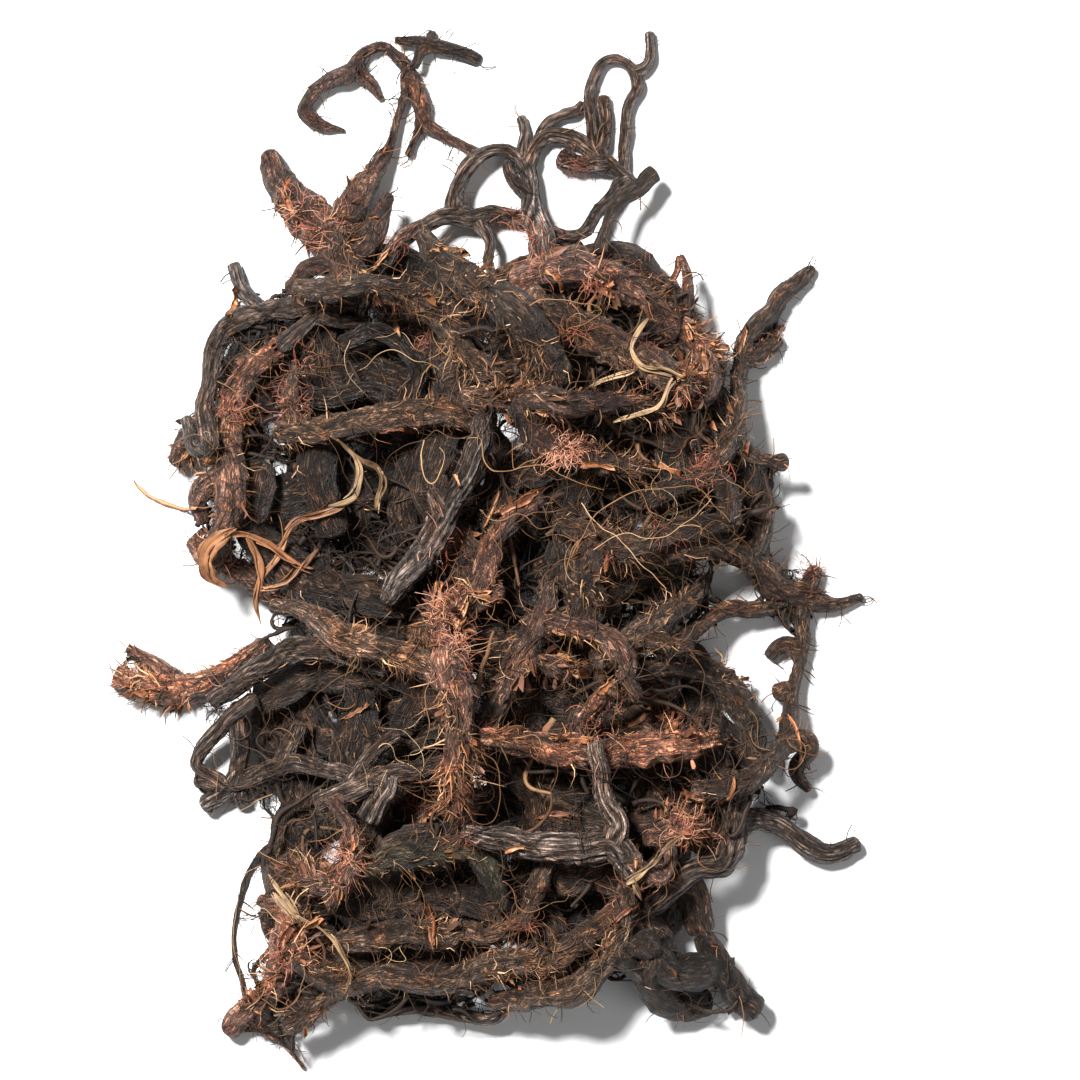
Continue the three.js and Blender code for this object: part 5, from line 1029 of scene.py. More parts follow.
def newTree(name, sockets):
    # a geometry tree with the given inputs and one geometry in and out
    tree = bpy.data.node_groups.new(name, "GeometryNodeTree")
    tree.interface.new_socket("Geometry", in_out="INPUT", socket_type="NodeSocketGeometry")
    for key, kind in sockets.items():
        tree.interface.new_socket(key, in_out="INPUT", socket_type=kind)
    tree.interface.new_socket("Geometry", in_out="OUTPUT", socket_type="NodeSocketGeometry")
    return tree, tree.nodes.new("NodeGroupInput").outputs, tree.nodes.new("NodeGroupOutput").inputs


def runTree(name, source, tree, values):
    # what the tree makes of the source mesh, as a plain mesh of its own
    holder = addObject(name + "_source", source)
    modifier = holder.modifiers.new(tree.name, "NODES")
    modifier.node_group = tree
    for item in tree.interface.items_tree:
        if item.in_out == "INPUT" and item.name in values:
            modifier[item.identifier] = values[item.name]
    grown = holder.evaluated_get(bpy.context.evaluated_depsgraph_get())
    mesh = bpy.data.meshes.new_from_object(grown)
    holder.modifiers.clear()
    bpy.data.objects.remove(holder)
    mesh.name = name
    return addObject(name, mesh)


# small shapes that repeat on the bark, about one unit long on +Z

def tubeShape(spine, sides):
    # a pointed tube along x, y, z, radius rows, closed at its foot
    points, faces = [], []
    for x, y, z, radius in spine[:-1]:
        for k in range(sides):
            turn = 2 * math.pi * k / sides
            points.append((x + radius * math.cos(turn), y + radius * math.sin(turn), z))
    rings = len(spine) - 1
    points.append(tuple(spine[-1][:3]))
    for ring in range(rings - 1):
        for k in range(sides):
            a, b = ring * sides + k, ring * sides + (k + 1) % sides
            faces.append((a, b, b + sides, a + sides))
    last = (rings - 1) * sides
    faces += [(last + k, last + (k + 1) % sides, len(points) - 1) for k in range(sides)]
    faces.append(tuple(range(sides))[::-1])
    return points, faces


def flakeShape(rng):
    # a curled torn scrap of sheath, wide at its foot, with a ragged far edge
    columns, rows = 3, 4
    widths = (0.12, 0.20, 0.18, 0.07)
    bend, roll = rng.uniform(0.1, 0.6), rng.uniform(0.5, 1.6)
    top = []
    for j in range(rows):
        for i in range(columns):
            across = i / (columns - 1) * 2 - 1
            reach = j / (rows - 1) * (1 + (rng.uniform(-0.35, 0.1) if j == rows - 1 else 0))
            top.append((bend * reach ** 2 + roll * widths[j] * across ** 2 + rng.normal(0, 0.02),
                        across * widths[j] * rng.uniform(0.8, 1.1), reach))
    count = len(top)
    points = top + [(x - 0.02, y, z) for x, y, z in top]
    faces = []
    for j in range(rows - 1):
        for i in range(columns - 1):
            a = j * columns + i
            quad = (a, a + 1, a + columns + 1, a + columns)
            faces += [quad, tuple(v + count for v in quad[::-1])]
    rim = list(range(columns)) + [j * columns + columns - 1 for j in range(1, rows)]
    rim += [(rows - 1) * columns + i for i in range(columns - 2, -1, -1)]
    rim += [j * columns for j in range(rows - 2, 0, -1)]
    faces += [(a, a + count, b + count, b) for a, b in zip(rim, rim[1:] + rim[:1])]
    return points, faces


def crumbShape(rng):
    # a grain of soil
    points = [(0, 0, 1), (0, 0, -1), (1, 0, 0), (-1, 0, 0), (0, 1, 0), (0, -1, 0)]
    faces = [(0, 2, 4), (0, 4, 3), (0, 3, 5), (0, 5, 2), (1, 4, 2), (1, 3, 4), (1, 5, 3), (1, 2, 5)]
    return [tuple(v * rng.uniform(0.5, 1.2) for v in point) for point in points], faces


def hookSpine(radius, hook, kink, shares=(0.0, 0.3, 0.65, 1.0)):
    # a fibre that bends to one side and has a kink or two
    rows = []
    for k, share in enumerate(shares):
        x, y = hook * share ** 2 + kink * (k % 2), kink * 0.7 * (k == 2)
        rows.append((x, y, share * (1 - 0.25 * abs(hook) * share), radius * (1 - 0.75 * share)))
    return rows


def shapeSet(name, shapes):
    # a collection of the variants; the modifier picks among them
    found = bpy.data.collections.new(name)
    for k, (points, faces) in enumerate(shapes):
        mesh = bpy.data.meshes.new(f"{name}{k}")
        mesh.from_pydata(points, [], faces)
        reach = mesh.attributes.new("reachOut", "FLOAT", "POINT")
        reach.data.foreach_set("value", np.clip([point[2] for point in points], 0, 1).astype(np.float32))
        found.objects.link(bpy.data.objects.new(mesh.name, mesh))
    return found


# coat: short stiff fibres, papery scraps or crumbs that stand on the bark, more of them where it is shaggy

def makeCoatTree():
    tree, given, result = newTree("barkCoat", {
        "Shapes": "NodeSocketCollection", "Density": "NodeSocketFloat", "Length": "NodeSocketFloat",
        "Lift": "NodeSocketFloat", "Disorder": "NodeSocketFloat", "Curl": "NodeSocketFloat",
        "Sag": "NodeSocketFloat", "Seed": "NodeSocketInt", "Material": "NodeSocketMaterial"})
    density = calc(tree, "MULTIPLY", given["Density"], named(tree, "shag"))
    spread = put(tree, "GeometryNodeDistributePointsOnFaces", {"distribute_method": "RANDOM"},
                 Mesh=given["Geometry"], Density=density, Seed=given["Seed"])
    messy = randomIn(tree, (-1, -1, -1), (1, 1, 1), 11, "FLOAT_VECTOR")
    lift = vectorCalc(tree, "SCALE", spread.outputs["Normal"], scale=given["Lift"])
    heading = vectorCalc(tree, "ADD", lift, named(tree, "growAlong", "FLOAT_VECTOR"))
    heading = vectorCalc(tree, "ADD", heading, vectorCalc(tree, "SCALE", messy, scale=given["Disorder"]))
    turned = put(tree, "FunctionNodeAxesToRotation", {"primary_axis": "Z", "secondary_axis": "X"},
                 Primary_Axis=heading, Secondary_Axis=spread.outputs["Normal"]).outputs[0]
    spin = put(tree, "FunctionNodeAxisAngleToRotation", Axis=(0, 0, 1),
               Angle=randomIn(tree, -0.9, 0.9, 15)).outputs[0]
    turned = put(tree, "FunctionNodeRotateRotation", {"rotation_space": "LOCAL"}, Rotation=turned,
                 Rotate_By=spin).outputs[0]
    # most are short and a few are long
    spreadOut = calc(tree, "POWER", randomIn(tree, 0.0, 1.0, 12), 2.2)
    spreadOut = calc(tree, "ADD", calc(tree, "MULTIPLY", spreadOut, 1.7), 0.35)
    length = calc(tree, "MULTIPLY", given["Length"], spreadOut)
    length = calc(tree, "MULTIPLY", length, named(tree, "hairScale"))
    size = put(tree, "ShaderNodeCombineXYZ", X=length, Y=length, Z=length).outputs[0]
    variants = put(tree, "GeometryNodeCollectionInfo", Collection=given["Shapes"], Separate_Children=True,
                   Reset_Children=True).outputs[0]
    placed = put(tree, "GeometryNodeInstanceOnPoints", Points=spread.outputs["Points"], Instance=variants,
                 Pick_Instance=True, Rotation=turned, Scale=size).outputs[0]
    placed = put(tree, "GeometryNodeStoreNamedAttribute", {"data_type": "FLOAT", "domain": "INSTANCE"},
                 Geometry=placed, Name="hairShade", Value=randomIn(tree, 0.0, 1.0, 14)).outputs[0]
    grown = put(tree, "GeometryNodeRealizeInstances", Geometry=placed).outputs[0]
    grown = bendHairs(tree, grown, given["Curl"], given["Sag"])
    grown = put(tree, "GeometryNodeSetMaterial", Geometry=grown, Material=given["Material"]).outputs[0]
    join(tree, grown, result["Geometry"])
    return tree


def bendHairs(tree, grown, curl, sag):
    # the free parts are pushed about by two noises, fall a little, and stop at the floor
    place = put(tree, "GeometryNodeInputPosition").outputs[0]
    reachOut = calc(tree, "POWER", named(tree, "reachOut"), 1.4)
    push = (0.0, 0.0, 0.0)
    for scale, share in ((210.0, 1.0), (520.0, 0.5)):
        noise = put(tree, "ShaderNodeTexNoise", Vector=place, Scale=scale, Detail=0.0).outputs["Color"]
        noise = vectorCalc(tree, "SCALE", vectorCalc(tree, "SUBTRACT", noise, (0.5, 0.5, 0.5)), scale=share)
        push = vectorCalc(tree, "ADD", noise, push)
    push = vectorCalc(tree, "SCALE", push, scale=calc(tree, "MULTIPLY", reachOut, curl))
    fall = calc(tree, "MULTIPLY", reachOut, calc(tree, "MULTIPLY", sag, -1.0))
    fall = put(tree, "ShaderNodeCombineXYZ", Z=fall).outputs[0]
    moved = vectorCalc(tree, "ADD", vectorCalc(tree, "ADD", place, push), fall)
    return stayAbove(tree, grown, moved, 0.0002)


def stayAbove(tree, mesh, moved, floor):
    moved = vectorCalc(tree, "MAXIMUM", moved, (-9.0, -9.0, floor))
    return put(tree, "GeometryNodeSetPosition", Geometry=mesh, Position=moved).outputs[0]


# thread: a wiry root or long fibre along each chain of edges, pointed at its far end

def threadTree():
    tree, given, result = newTree("wiryThreads", {
        "Sides": "NodeSocketInt", "Thickness": "NodeSocketFloat", "Material": "NodeSocketMaterial"})
    curve = put(tree, "GeometryNodeMeshToCurve", Mesh=given["Geometry"]).outputs[0]
    radius = calc(tree, "MULTIPLY", named(tree, "threadRadius"), given["Thickness"])
    profile = put(tree, "GeometryNodeCurvePrimitiveCircle", {"mode": "RADIUS"}, Resolution=given["Sides"],
                  Radius=1.0).outputs["Curve"]
    tube = put(tree, "GeometryNodeCurveToMesh", Curve=curve, Profile_Curve=profile, Scale=radius,
               Fill_Caps=True).outputs[0]
    tube = put(tree, "GeometryNodeSetShadeSmooth", Geometry=tube, Shade_Smooth=True).outputs[0]
    tube = stayAbove(tree, tube, put(tree, "GeometryNodeInputPosition").outputs[0], 0.0001)
    tube = put(tree, "GeometryNodeRealizeInstances", Geometry=tube).outputs[0]
    tube = put(tree, "GeometryNodeSetMaterial", Geometry=tube, Material=given["Material"]).outputs[0]
    join(tree, tube, result["Geometry"])
    return tree


# finishes

def shaderGroup(name, inputs, outputs):
    tree = bpy.data.node_groups.new(name, "ShaderNodeTree")
    for key, kind, value in inputs:
        socket = tree.interface.new_socket(key, in_out="INPUT", socket_type=kind)
        if value is not None:
            socket.default_value = value
    for key, kind in outputs:
        tree.interface.new_socket(key, in_out="OUTPUT", socket_type=kind)
    return tree, tree.nodes.new("NodeGroupInput").outputs, tree.nodes.new("NodeGroupOutput").inputs


def noiseOf(tree, place, scale, detail, roughness, **more):
    return put(tree, "ShaderNodeTexNoise", Vector=place, Scale=scale, Detail=detail, Roughness=roughness,
               **more).outputs["Fac"]


def mixColour(tree, share, a, b, blend="MIX"):
    made = put(tree, "ShaderNodeMix", {"data_type": "RGBA", "blend_type": blend})
    join(tree, share, made.inputs[0])
    join(tree, a, made.inputs[6])
    join(tree, b, made.inputs[7])
    return made.outputs[2]


def times(tree, colour, factor):
    return mixColour(tree, 1.0, colour, (*factor, 1), "MULTIPLY")


def mapRange(tree, value, low, high):
    return put(tree, "ShaderNodeMapRange", {"clamp": True}, Value=value, From_Min=low, From_Max=high,
               To_Min=0.0, To_Max=1.0).outputs["Result"]


def makeWoodGrain():
    # cracks that run along a stem and part its bark into narrow plates, with fine crumbs over them; the bark
    # material paints the cracks dark as shade
    tree, given, result = shaderGroup("woodGrain", [
        ("Vector", "NodeSocketVector", None), ("Streak Scale", "NodeSocketFloat", 480.0),
        ("Stretch", "NodeSocketFloat", 0.16), ("Crumb Scale", "NodeSocketFloat", 1500.0)],
        [("Streak", "NodeSocketFloat"), ("Crack", "NodeSocketFloat"), ("Crumb", "NodeSocketFloat"),
         ("Height", "NodeSocketFloat")])
    squeeze = put(tree, "ShaderNodeCombineXYZ", X=given["Stretch"], Y=1.0, Z=1.0).outputs[0]
    along = vectorCalc(tree, "MULTIPLY", given["Vector"], squeeze)
    plate = 1.0
    for scale, width in ((1.0, 0.055), (2.7, 0.080)):
        fine = calc(tree, "MULTIPLY", given["Streak Scale"], scale)
        noise = noiseOf(tree, along, fine, 3.0, 0.62, Distortion=0.5)
        away = calc(tree, "ABSOLUTE", calc(tree, "SUBTRACT", noise, 0.5))
        plate = calc(tree, "MULTIPLY", plate, mapRange(tree, away, 0.0, width))
    fine = calc(tree, "MULTIPLY", given["Streak Scale"], 1.9)
    streak = mapRange(tree, noiseOf(tree, along, fine, 4.0, 0.65), 0.34, 0.66)
    crumb = mapRange(tree, noiseOf(tree, given["Vector"], given["Crumb Scale"], 3.0, 0.7), 0.3, 0.7)
    join(tree, streak, result["Streak"])
    join(tree, plate, result["Crack"])
    join(tree, crumb, result["Crumb"])
    height = calc(tree, "ADD", calc(tree, "MULTIPLY", plate, 1.4), calc(tree, "MULTIPLY", crumb, 0.7))
    join(tree, height, result["Height"])
    return tree


def makeSoilDustAndTopLight():
    # pale dusty soil on what faces up, partly a painted highlight on the upper side, and dark soil in patches
    tree, given, result = shaderGroup("soilDust", [
        ("Color", "NodeSocketColor", None), ("Dust", "NodeSocketFloat", 0.3),
        ("Stain", "NodeSocketFloat", 0.4), ("Dust Color", "NodeSocketColor", (0.33, 0.24, 0.19, 1))],
        [("Color", "NodeSocketColor")])
    place = put(tree, "ShaderNodeTexCoord").outputs["Object"]
    patches, fine = noiseOf(tree, place, 75.0, 5.0, 0.6), noiseOf(tree, place, 650.0, 3.0, 0.7)
    facing = put(tree, "ShaderNodeNewGeometry").outputs["Normal"]
    up = put(tree, "ShaderNodeSeparateXYZ", Vector=facing).outputs["Z"]
    # dust on faces that point up, which also paints light on the upper side
    dust = calc(tree, "MULTIPLY", mapRange(tree, up, 0.1, 1.0), mapRange(tree, fine, 0.42, 0.62))
    dust = calc(tree, "MULTIPLY", dust, mapRange(tree, patches, 0.42, 0.62))
    colour = mixColour(tree, calc(tree, "MULTIPLY", dust, given["Dust"]), given["Color"], given["Dust Color"])
    stain = calc(tree, "MULTIPLY", mapRange(tree, patches, 0.55, 0.38), given["Stain"])
    colour = mixColour(tree, stain, colour, times(tree, colour, (0.34, 0.30, 0.29)))
    join(tree, colour, result["Color"])
    return tree


woodGrain, soilDust = makeWoodGrain(), makeSoilDustAndTopLight()


def newMaterial(name, roughness, specular):
    made = bpy.data.materials.new(name)
    made.use_nodes = True
    tree = made.node_tree
    shader = tree.nodes["Principled BSDF"]
    shader.inputs["Roughness"].default_value = roughness
    shader.inputs["Specular IOR Level"].default_value = specular
    return made, tree, shader


def attribute(tree, name, output="Color"):
    return put(tree, "ShaderNodeAttribute", {"attribute_name": name}).outputs[output]


def barkMaterial(name, roughness, look):
    made, tree, shader = newMaterial(name, roughness, 0.45)
    tint = attribute(tree, "barkTint")
    grain = put(tree, "ShaderNodeGroup", {"node_tree": woodGrain},
                Vector=attribute(tree, "grainSpace", "Vector"), Streak_Scale=look["grain"],
                Stretch=look["stretch"]).outputs
    colour = mixColour(tree, calc(tree, "MULTIPLY", grain["Streak"], grain["Crumb"]), tint,
                       times(tree, tint, (3.1, 2.85, 2.7)))
    flecks = calc(tree, "MULTIPLY", mapRange(tree, grain["Crumb"], 0.62, 0.95), look["flecks"])
    colour = mixColour(tree, flecks, colour, times(tree, tint, (4.2, 3.0, 2.0)))
    soiled = put(tree, "ShaderNodeGroup", {"node_tree": soilDust}, Color=colour, Dust=look["dust"],
                 Stain=look["stain"], Dust_Color=(*look["dustColour"], 1))
    # painted shade: the cracks are painted almost black
    crackShade = calc(tree, "MULTIPLY", calc(tree, "SUBTRACT", 1.0, grain["Crack"]), look["cracks"])
    colour = mixColour(tree, crackShade, soiled.outputs["Color"], times(tree, tint, (0.09, 0.08, 0.075)))
    join(tree, colour, shader.inputs["Base Color"])
    bumped = put(tree, "ShaderNodeBump", Strength=0.9, Distance=0.0008, Height=grain["Height"])
    join(tree, bumped.outputs[0], shader.inputs["Normal"])
    return made


def fibreMaterial(name, stops, roughness=0.7, warmth=1.0):
    # dry fibres: their own shade each, part of it taken from the bark colour that they stand on, which
    # carries the bark's painted shade and highlight
    made, tree, shader = newMaterial(name, roughness, 0.3)
    ramp = put(tree, "ShaderNodeValToRGB", Fac=attribute(tree, "hairShade", "Fac"))
    while len(ramp.color_ramp.elements) < len(stops):
        ramp.color_ramp.elements.new(0.5)
    for element, (spot, colour) in zip(ramp.color_ramp.elements, stops):
        element.position, element.color = spot, (*colour, 1)
    # the bark colour mixed in here includes painted shade and painted highlight
    colour = mixColour(tree, warmth, attribute(tree, "barkTint"), ramp.outputs["Color"])
    tip = times(tree, colour, (1.3, 1.2, 1.15))
    colour = mixColour(tree, attribute(tree, "reachOut", "Fac"), colour, tip)
    join(tree, colour, shader.inputs["Base Color"])
    return made


# roughness; size of the grain and how far it is drawn out; shares of painted shade in the cracks, of dust,
# which is partly a painted highlight on the upper side, of stain and of ochre flecks; colour of the dust
barkLooks = {}
for kind, roughness, grain, stretch, crackShade, dust, stain, flecks, dustColour in (
        ("dark", 0.55, 560, 0.10, 0.95, 0.14, 0.55, 0.25, (0.30, 0.22, 0.17)),
        ("grey", 0.42, 640, 0.055, 0.95, 0.26, 0.45, 0.15, (0.46, 0.35, 0.29)),
        ("brown", 0.58, 520, 0.20, 0.95, 0.28, 0.50, 0.55, (0.46, 0.29, 0.19)),
        ("red", 0.60, 500, 0.22, 0.90, 0.32, 0.45, 0.55, (0.62, 0.34, 0.23)),
        ("olive", 0.60, 560, 0.14, 0.90, 0.28, 0.45, 0.35, (0.27, 0.25, 0.17))):
    name = "redBrownBark" if kind == "red" else kind + "Bark"
    barkLooks[kind] = barkMaterial(name, roughness, {
        "grain": grain, "stretch": stretch, "cracks": crackShade, "dust": dust, "stain": stain, "flecks": flecks,
        "dustColour": dustColour})
earthFibre = fibreMaterial("earthFibre", [
    (0.0, (0.008, 0.005, 0.003)), (0.40, (0.055, 0.025, 0.012)), (0.72, (0.30, 0.125, 0.048)),
    (1.0, (0.80, 0.50, 0.27))], warmth=0.75)
coralFibre = fibreMaterial("coralFibre", [
    (0.0, (0.045, 0.016, 0.009)), (0.4, (0.19, 0.060, 0.034)), (0.8, (0.50, 0.185, 0.115)),
    (1.0, (0.72, 0.42, 0.27))])
threadFinish = fibreMaterial("wiryRoot", [
    (0.0, (0.014, 0.009, 0.006)), (0.45, (0.070, 0.036, 0.018)), (0.75, (0.24, 0.125, 0.052)),
    (1.0, (0.66, 0.46, 0.25))], 0.55)
paperScale = fibreMaterial("paperScale", [
    (0.0, (0.014, 0.007, 0.004)), (0.5, (0.085, 0.034, 0.015)), (0.85, (0.27, 0.105, 0.040)),
    (1.0, (0.50, 0.24, 0.10))], 0.55, 0.55)
soilCrumb = fibreMaterial("soilCrumb", [
    (0.0, (0.010, 0.006, 0.004)), (0.65, (0.07, 0.04, 0.025)), (1.0, (0.34, 0.21, 0.12))], 0.9, 0.8)
tornBark = fibreMaterial("tornBark", [
    (0.0, (0.012, 0.006, 0.004)), (0.35, (0.085, 0.030, 0.014)), (0.65, (0.25, 0.092, 0.034)),
    (1.0, (0.50, 0.30, 0.16))], 0.5)
matRoot = fibreMaterial("matRoot", [
    (0.0, (0.006, 0.004, 0.003)), (0.4, (0.026, 0.014, 0.008)), (0.72, (0.12, 0.060, 0.028)),
    (1.0, (0.34, 0.20, 0.10))])


def bladeMaterial(name, pale, deep, fleck):
    made, tree, shader = newMaterial(name, 0.55, 0.4)
    grain = put(tree, "ShaderNodeGroup", {"node_tree": woodGrain},
                Vector=attribute(tree, "grainSpace", "Vector"), Streak_Scale=300.0, Stretch=0.05,
                Crumb_Scale=400.0)
    colour = mixColour(tree, grain.outputs["Streak"], (*deep, 1), (*pale, 1))
    spots = mapRange(tree, grain.outputs["Crumb"], 0.15, 0.0)
    colour = mixColour(tree, calc(tree, "MULTIPLY", spots, 0.7), colour, (*fleck, 1))
    soiled = put(tree, "ShaderNodeGroup", {"node_tree": soilDust}, Color=colour, Dust=0.2, Stain=0.9,
                 Dust_Color=(*pale, 1))
    join(tree, soiled.outputs["Color"], shader.inputs["Base Color"])
    bumped = put(tree, "ShaderNodeBump", Strength=0.6, Distance=0.0006, Height=grain.outputs["Streak"])
    join(tree, bumped.outputs[0], shader.inputs["Normal"])
    return made


bladeLooks = {
    "orange": bladeMaterial("orangeBlade", (0.50, 0.23, 0.100), (0.085, 0.026, 0.011), (0.03, 0.012, 0.008)),
    "straw": bladeMaterial("strawBlade", (0.56, 0.37, 0.19), (0.13, 0.070, 0.032), (0.03, 0.015, 0.01)),
}


# the bark pieces stand for the solids; their roots and fibres follow

for piece, source in barkObjects:
    piece.data.materials.append(barkLooks[source["bark"]])
    ridePiece(piece, barkKinds[source["bark"]]["slot"], source["name"])

# what grows on each kind of bark: how many on a square metre, and lengths in metres
shapeRng = np.random.default_rng(7)
coats = [
    {"name": "fibres", "material": earthFibre, "seed": 3, "of": {
        "dark": (185000, 0.0037), "grey": (300000, 0.0026), "brown": (640000, 0.0042),
        "red": (600000, 0.0047), "olive": (520000, 0.0040)},
     "lift": 0.40, "disorder": 1.25, "curl": 0.0050, "sag": 0.0008,
     "shapes": shapeSet("fibreShape", [tubeShape(hookSpine(*row), 3) for row in (
         (0.034, 0.25, 0.05, (0.0, 0.5, 1.0)), (0.028, 0.75, 0.0), (0.040, -0.40, 0.07, (0.0, 0.45, 1.0)),
         (0.024, 1.05, -0.06))])},
    {"name": "scraps", "material": paperScale, "seed": 5, "of": {
        "dark": (6000, 0.0030), "grey": (5000, 0.0024), "brown": (30000, 0.0031),
        "red": (44000, 0.0036), "olive": (14000, 0.0030)},
     "lift": 0.30, "disorder": 0.75, "curl": 0.0014, "sag": 0.0,
     "shapes": shapeSet("scrapShape", [flakeShape(shapeRng) for _ in range(4)])},
    {"name": "crumbs", "material": soilCrumb, "seed": 8, "of": {
        "dark": (20000, 0.00038), "grey": (16000, 0.00030), "brown": (40000, 0.00040),
        "red": (40000, 0.00042), "olive": (30000, 0.00040)},
     "lift": 0.1, "disorder": 1.0, "curl": 0.0, "sag": 0.0,
     "shapes": shapeSet("crumbShape", [crumbShape(shapeRng) for _ in range(3)])},
]
coatTree = makeCoatTree()


def growCoats():
    for kind, parts in barkParts.items():
        joined, faces = joinParts(parts)
        for coat in coats:
            density, length = coat["of"][kind]
            source = makeMesh(kind + "_skin", joined["points"], faces, {
                "shag": joined["shag"], "hairScale": joined["hairScale"], "growAlong": joined["growAlong"],
                "barkTint": asColours(joined["tint"])})
            grown = runTree(kind + "_" + coat["name"], source, coatTree, {
                "Shapes": coat["shapes"], "Density": float(density), "Length": length, "Lift": coat["lift"],
                "Disorder": coat["disorder"], "Curl": coat["curl"], "Sag": coat["sag"], "Seed": coat["seed"],
                "Material": coat["material"]})
            ridePiece(grown, barkKinds[kind]["slot"])
            print(grown.name, triangles(grown), "triangles")


growCoats()

# wiry roots and long fibres; lengths in millimetres
threads = {
    "count": 1500, "length": (8, 60), "longFew": 2.2, "radius": (0.12, 0.34), "step": 1.5, "bend": 0.15,
    "wobble": 0.24, "lieOn": 0.5, "fallEach": 0.55, "climb": (0, 0.8), "shade": (1.2, 3.0),
    "highest": 57, "freeEnd": 7, "seed": 21,
    "share": {"dark": 0.5, "grey": 0.25, "brown": 1.0, "red": 1.3, "olive": 1.0},
}
# nests of pale curling threads: x, y, spread, how many, tone
nests = {
    "length": (10, 36), "radius": (0.09, 0.20), "step": 1.5, "bend": 0.14, "wobble": 0.32, "lieOn": 0.6,
    "fallEach": 0.5, "climb": (0.1, 0.9), "scatter": 0.22, "ground": 5,
    "spots": [
        (38, 0, 8, 24, 0.7), (56, 6, 9, 22, 0.68), (24, 6, 7, 12, 0.65), (70, 14, 7, 12, 0.7),
        (8, 22, 7, 12, 0.65), (-62, 58, 8, 14, 0.6), (-68, -72, 9, 14, 0.5), (-20, -66, 7, 12, 0.75),
        (-74, -128, 9, 18, 0.7), (-30, -146, 11, 18, 0.6), (30, -150, 11, 16, 0.5), (36, -56, 9, 12, 0.5),
        (-36, 92, 11, 24, 0.6), (-10, 74, 10, 16, 0.6), (46, 74, 9, 16, 0.6), (12, -138, 9, 14, 0.6),
    ],
}
# tufts of fibre: x, y, how far they spread, how many strands, tone, how curly
tufts = {
    "step": 1.1, "length": (5, 13), "radius": (0.08, 0.15), "tilt": (-0.2, 0.9), "rise": 5.0, "scatter": 0.2,
    "ground": 3, "seed": 34,
    "spots": [
        (-62, 110, 8, 150, 0.75, 0.3), (-55, 104, 8, 120, 0.7, 0.12), (-50, 118, 7, 60, 0.55, 0.15),
        (25, 30, 9, 240, 0.85, 0.42), (35, 86, 10, 110, 0.6, 0.35), (18, 92, 7, 60, 0.7, 0.35),
        (-14, -22, 8, 110, 0.6, 0.35), (-14, -4, 9, 110, 0.55, 0.35), (-12, -42, 7, 60, 0.5, 0.25),
        (-48, -104, 8, 110, 0.7, 0.3), (64, -95, 8, 130, 0.8, 0.4), (74, -100, 7, 60, 0.8, 0.2),
        (-68, -137, 9, 120, 0.7, 0.3), (-86, 43, 9, 90, 0.45, 0.3), (-88, -8, 9, 60, 0.6, 0.25),
        (99, 66, 5, 40, 0.7, 0.1), (108, -9, 7, 90, 0.45, 0.25), (-100, -46, 9, 70, 0.5, 0.2),
        (-64, 61, 9, 90, 0.55, 0.35), (28, 68, 8, 70, 0.5, 0.3), (72, 25, 10, 110, 0.45, 0.35),
        (40, -2, 12, 110, 0.3, 0.25), (58, 6, 11, 90, 0.25, 0.25), (-66, 45, 9, 90, 0.6, 0.4),
        (38, -63, 10, 110, 0.65, 0.25), (60, -60, 9, 90, 0.65, 0.25), (-26, -88, 8, 60, 0.4, 0.3),
        (12, -128, 9, 70, 0.4, 0.3), (52, 60, 9, 80, 0.4, 0.3), (66, 52, 8, 60, 0.6, 0.15),
        (-20, 66, 8, 60, 0.5, 0.3), (46, -118, 8, 60, 0.35, 0.3), (-8, -98, 8, 60, 0.35, 0.3),
        (-15, -24, 6, 110, 0.95, 0.5), (-10, -34, 6, 70, 0.9, 0.4), (-22, -16, 5, 50, 0.85, 0.4),
        (28, 126, 4, 50, 0.3, 0.3), (2, 115, 3, 40, 0.7, 0.2), (8, 109, 5, 60, 0.5, 0.2),
        (37, 146, 3, 25, 0.3, 0.2), (15, 101, 6, 80, 0.45, 0.25), (-17, 118, 5, 30, 0.3, 0.2),
        (-30, 100, 7, 60, 0.35, 0.25), (52, 90, 5, 30, 0.4, 0.2),
    ],
}
# long roots that can be followed one by one: radius, then the places that each runs through as x, y, height
longRoots = [
    (0.24, [(-67, -95, 2), (-74, -108, 9), (-83, -112, 10), (-86, -128, 5), (-85, -142, 2), (-82, -155, 1)]),
    (0.26, [(-75, -162, 4), (-67, -168, 2), (-62, -176, 1)]),
    (0.16, [(-94, -60, 12), (-91, -84, 8), (-95, -96, 2)]),
    (0.19, [(-72, -85, 20), (-80, -89, 16), (-88, -93, 12)]),
    (0.30, [(-21, 33, 44), (-22, 24, 48), (-20, 18, 49), (-16, 20, 48), (-14, 27, 46), (-16, 31, 42)]),
    (0.26, [(-3, 33, 42), (0, 24, 45), (3, 23, 46), (9, 24, 45), (17, 25, 44), (27, 20, 44), (38, 17, 40)]),
    (0.29, [(26, -8, 42), (33, 6, 47), (42, 13, 49), (54, 17, 47), (68, 17, 42), (80, 5, 34)]),
    (0.24, [(34, -3, 44), (45, 3, 48), (55, 0, 49), (66, 6, 46), (73, 14, 40)]),
    (0.24, [(30, 12, 42), (38, 4, 47), (49, -6, 47), (58, -16, 44)]),
    (0.22, [(-22, -68, 44), (-20, -60, 48), (-22, -52, 48), (-18, -46, 46)]),
    (0.24, [(-3, 10, 44), (2, 6, 49), (9, 9, 50), (17, 4, 49), (24, 6, 46)]),
    (0.22, [(-7, -12, 46), (-2, -21, 50), (5, -18, 50), (9, -26, 46)]),
    (0.20, [(-95, 38, 20), (-97, 30, 14), (-93, 22, 12)]),
    (0.22, [(-112, 22, 14), (-104, 26, 16), (-98, 31, 18)]),
    (0.17, [(-72, 163, 8), (-69, 158, 5), (-66, 152, 3)]),
    (0.19, [(-67, 165, 22), (-64, 157, 25), (-60, 149, 26)]),
]


